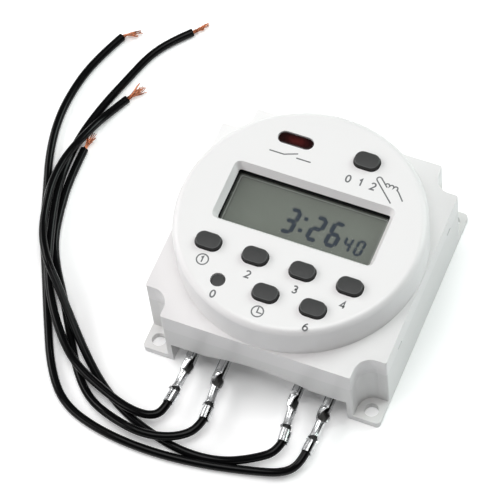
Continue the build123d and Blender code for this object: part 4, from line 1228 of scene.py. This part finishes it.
# Metals of the inner parts: name, colour and roughness, the width and depth of their marks in millimetres,
# how far these are drawn out along each axis, and the nodes with that finish
INNER_METALS = (
    # Brass, blanked and tinned: pale grey, with fine drag lines along the strip
    (
        "brass_blanked_tinned", "#C8C9C9", 0.24, 0.3, 0.006, (1.0, 0.2, 1.0),
        tuple(f"spade_tab_{number}" for number in range(1, 5)),
    ),
    # Steel, pressed and nickel plated: bright grey
    (
        "steel_nickel_plated", "#C9CACB", 0.22, 0.35, 0.004, (0.3, 1.0, 1.0),
        ("watch_crystal", "backup_cell"),
    ),
    # Aluminium, drawn to a can: pale, with faint rings from drawing
    ("aluminium_drawn", "#D5D6D8", 0.3, 0.3, 0.006, (0.3, 0.3, 1.0), ("filter_capacitor",)),
)
# Spacing of the threads in the boards' glass cloth and width of the gap between them, in millimetres
THREAD_MM, THREAD_GAP_MM = 0.5, 0.06


class TIMER_OT_inner_parts(bpy.types.Operator):
    """Finishes the boards, the parts on them, the plungers and the spade tabs"""

    bl_idname = "timer.inner_parts"
    bl_label = "Inner parts"

    def execute(self, context):
        for make, finishes in ((moulded_plastic, INNER_PLASTICS), (worked_metal, INNER_METALS)):
            for name, colour, roughness, grain_mm, depth_mm, pattern, nodes in finishes:
                material = make(name, linear(colour), roughness, grain_mm, depth_mm, pattern)
                for node in nodes:
                    dress(node, material)

        # Glass-epoxy laminate under solder mask: green, the weave just showing through
        board, tree = new_material("laminate_solder_mask_green")
        place = add_node(tree, "ShaderNodeTexCoord").outputs["Object"]
        threads = {
            "Vector": place,
            "Color1": WHITE,
            "Color2": (0.6, 0.6, 0.6),
            "Mortar": (0.0, 0.0, 0.0),
            # One unit of the pattern is one millimetre
            "Scale": per_mm(1.0),
            "Mortar Size": THREAD_GAP_MM,
            "Brick Width": THREAD_MM,
            "Row Height": THREAD_MM,
        }
        weave = add_node(tree, "ShaderNodeTexBrick", threads, offset=0.5)
        green = linear("#1F6340")
        tint = add_node(tree, "ShaderNodeMix", (weave, scaled(green, 0.8), green), data_type="RGBA")
        clouds = add_node(tree, "ShaderNodeTexNoise", (place, per_mm(0.8), 3.0))
        gloss = add_node(tree, "ShaderNodeMapRange", (clouds, 0.0, 1.0, 0.25, 0.4))
        finish_material(board, tint, gloss, weave, 0.01, {"IOR": 1.5})
        for node in ("control_board", "power_board"):
            dress(node, board)
        return {"FINISHED"}


OPERATORS = (
    TIMER_OT_stage,
    TIMER_OT_terminals,
    TIMER_OT_strands,
    TIMER_OT_leads,
    TIMER_OT_housing,
    TIMER_OT_keys,
    TIMER_OT_lamp,
    TIMER_OT_display,
    TIMER_OT_marks,
    TIMER_OT_inner_parts,
)


class TIMER_PT_panel(bpy.types.Panel):
    """Lists the pieces of the timer switch"""

    bl_idname = "TIMER_PT_panel"
    bl_label = "Timer switch"
    bl_space_type = "VIEW_3D"
    bl_region_type = "UI"
    bl_category = "Timer"

    def draw(self, context):
        for operator in OPERATORS:
            self.layout.operator(operator.bl_idname)


SETTINGS = {
    "timer_stage": TimerStageSettings,
    "timer_leads": TimerLeadSettings,
    "timer_terminals": TimerTerminalSettings,
    "timer_housing": TimerHousingSettings,
    "timer_keys": TimerKeySettings,
    "timer_lamp": TimerLampSettings,
    "timer_display": TimerDisplaySettings,
    "timer_marks": TimerMarkSettings,
}


def register():
    """Registers the settings, the operators and the panel."""
    for kind in (*SETTINGS.values(), *OPERATORS, TIMER_PT_panel):
        bpy.utils.register_class(kind)
    for name, kind in SETTINGS.items():
        setattr(bpy.types.Scene, name, PointerProperty(type=kind))


def unregister():
    """Takes the settings, the operators and the panel away again."""
    for name in SETTINGS:
        delattr(bpy.types.Scene, name)
    for kind in reversed((*SETTINGS.values(), *OPERATORS, TIMER_PT_panel)):
        bpy.utils.unregister_class(kind)


def main():
    """Makes every piece in order."""
    register()
    for operator in OPERATORS:
        group, name = operator.bl_idname.split(".")
        getattr(getattr(bpy.ops, group), name)()


if __name__ == "__main__":
    main()
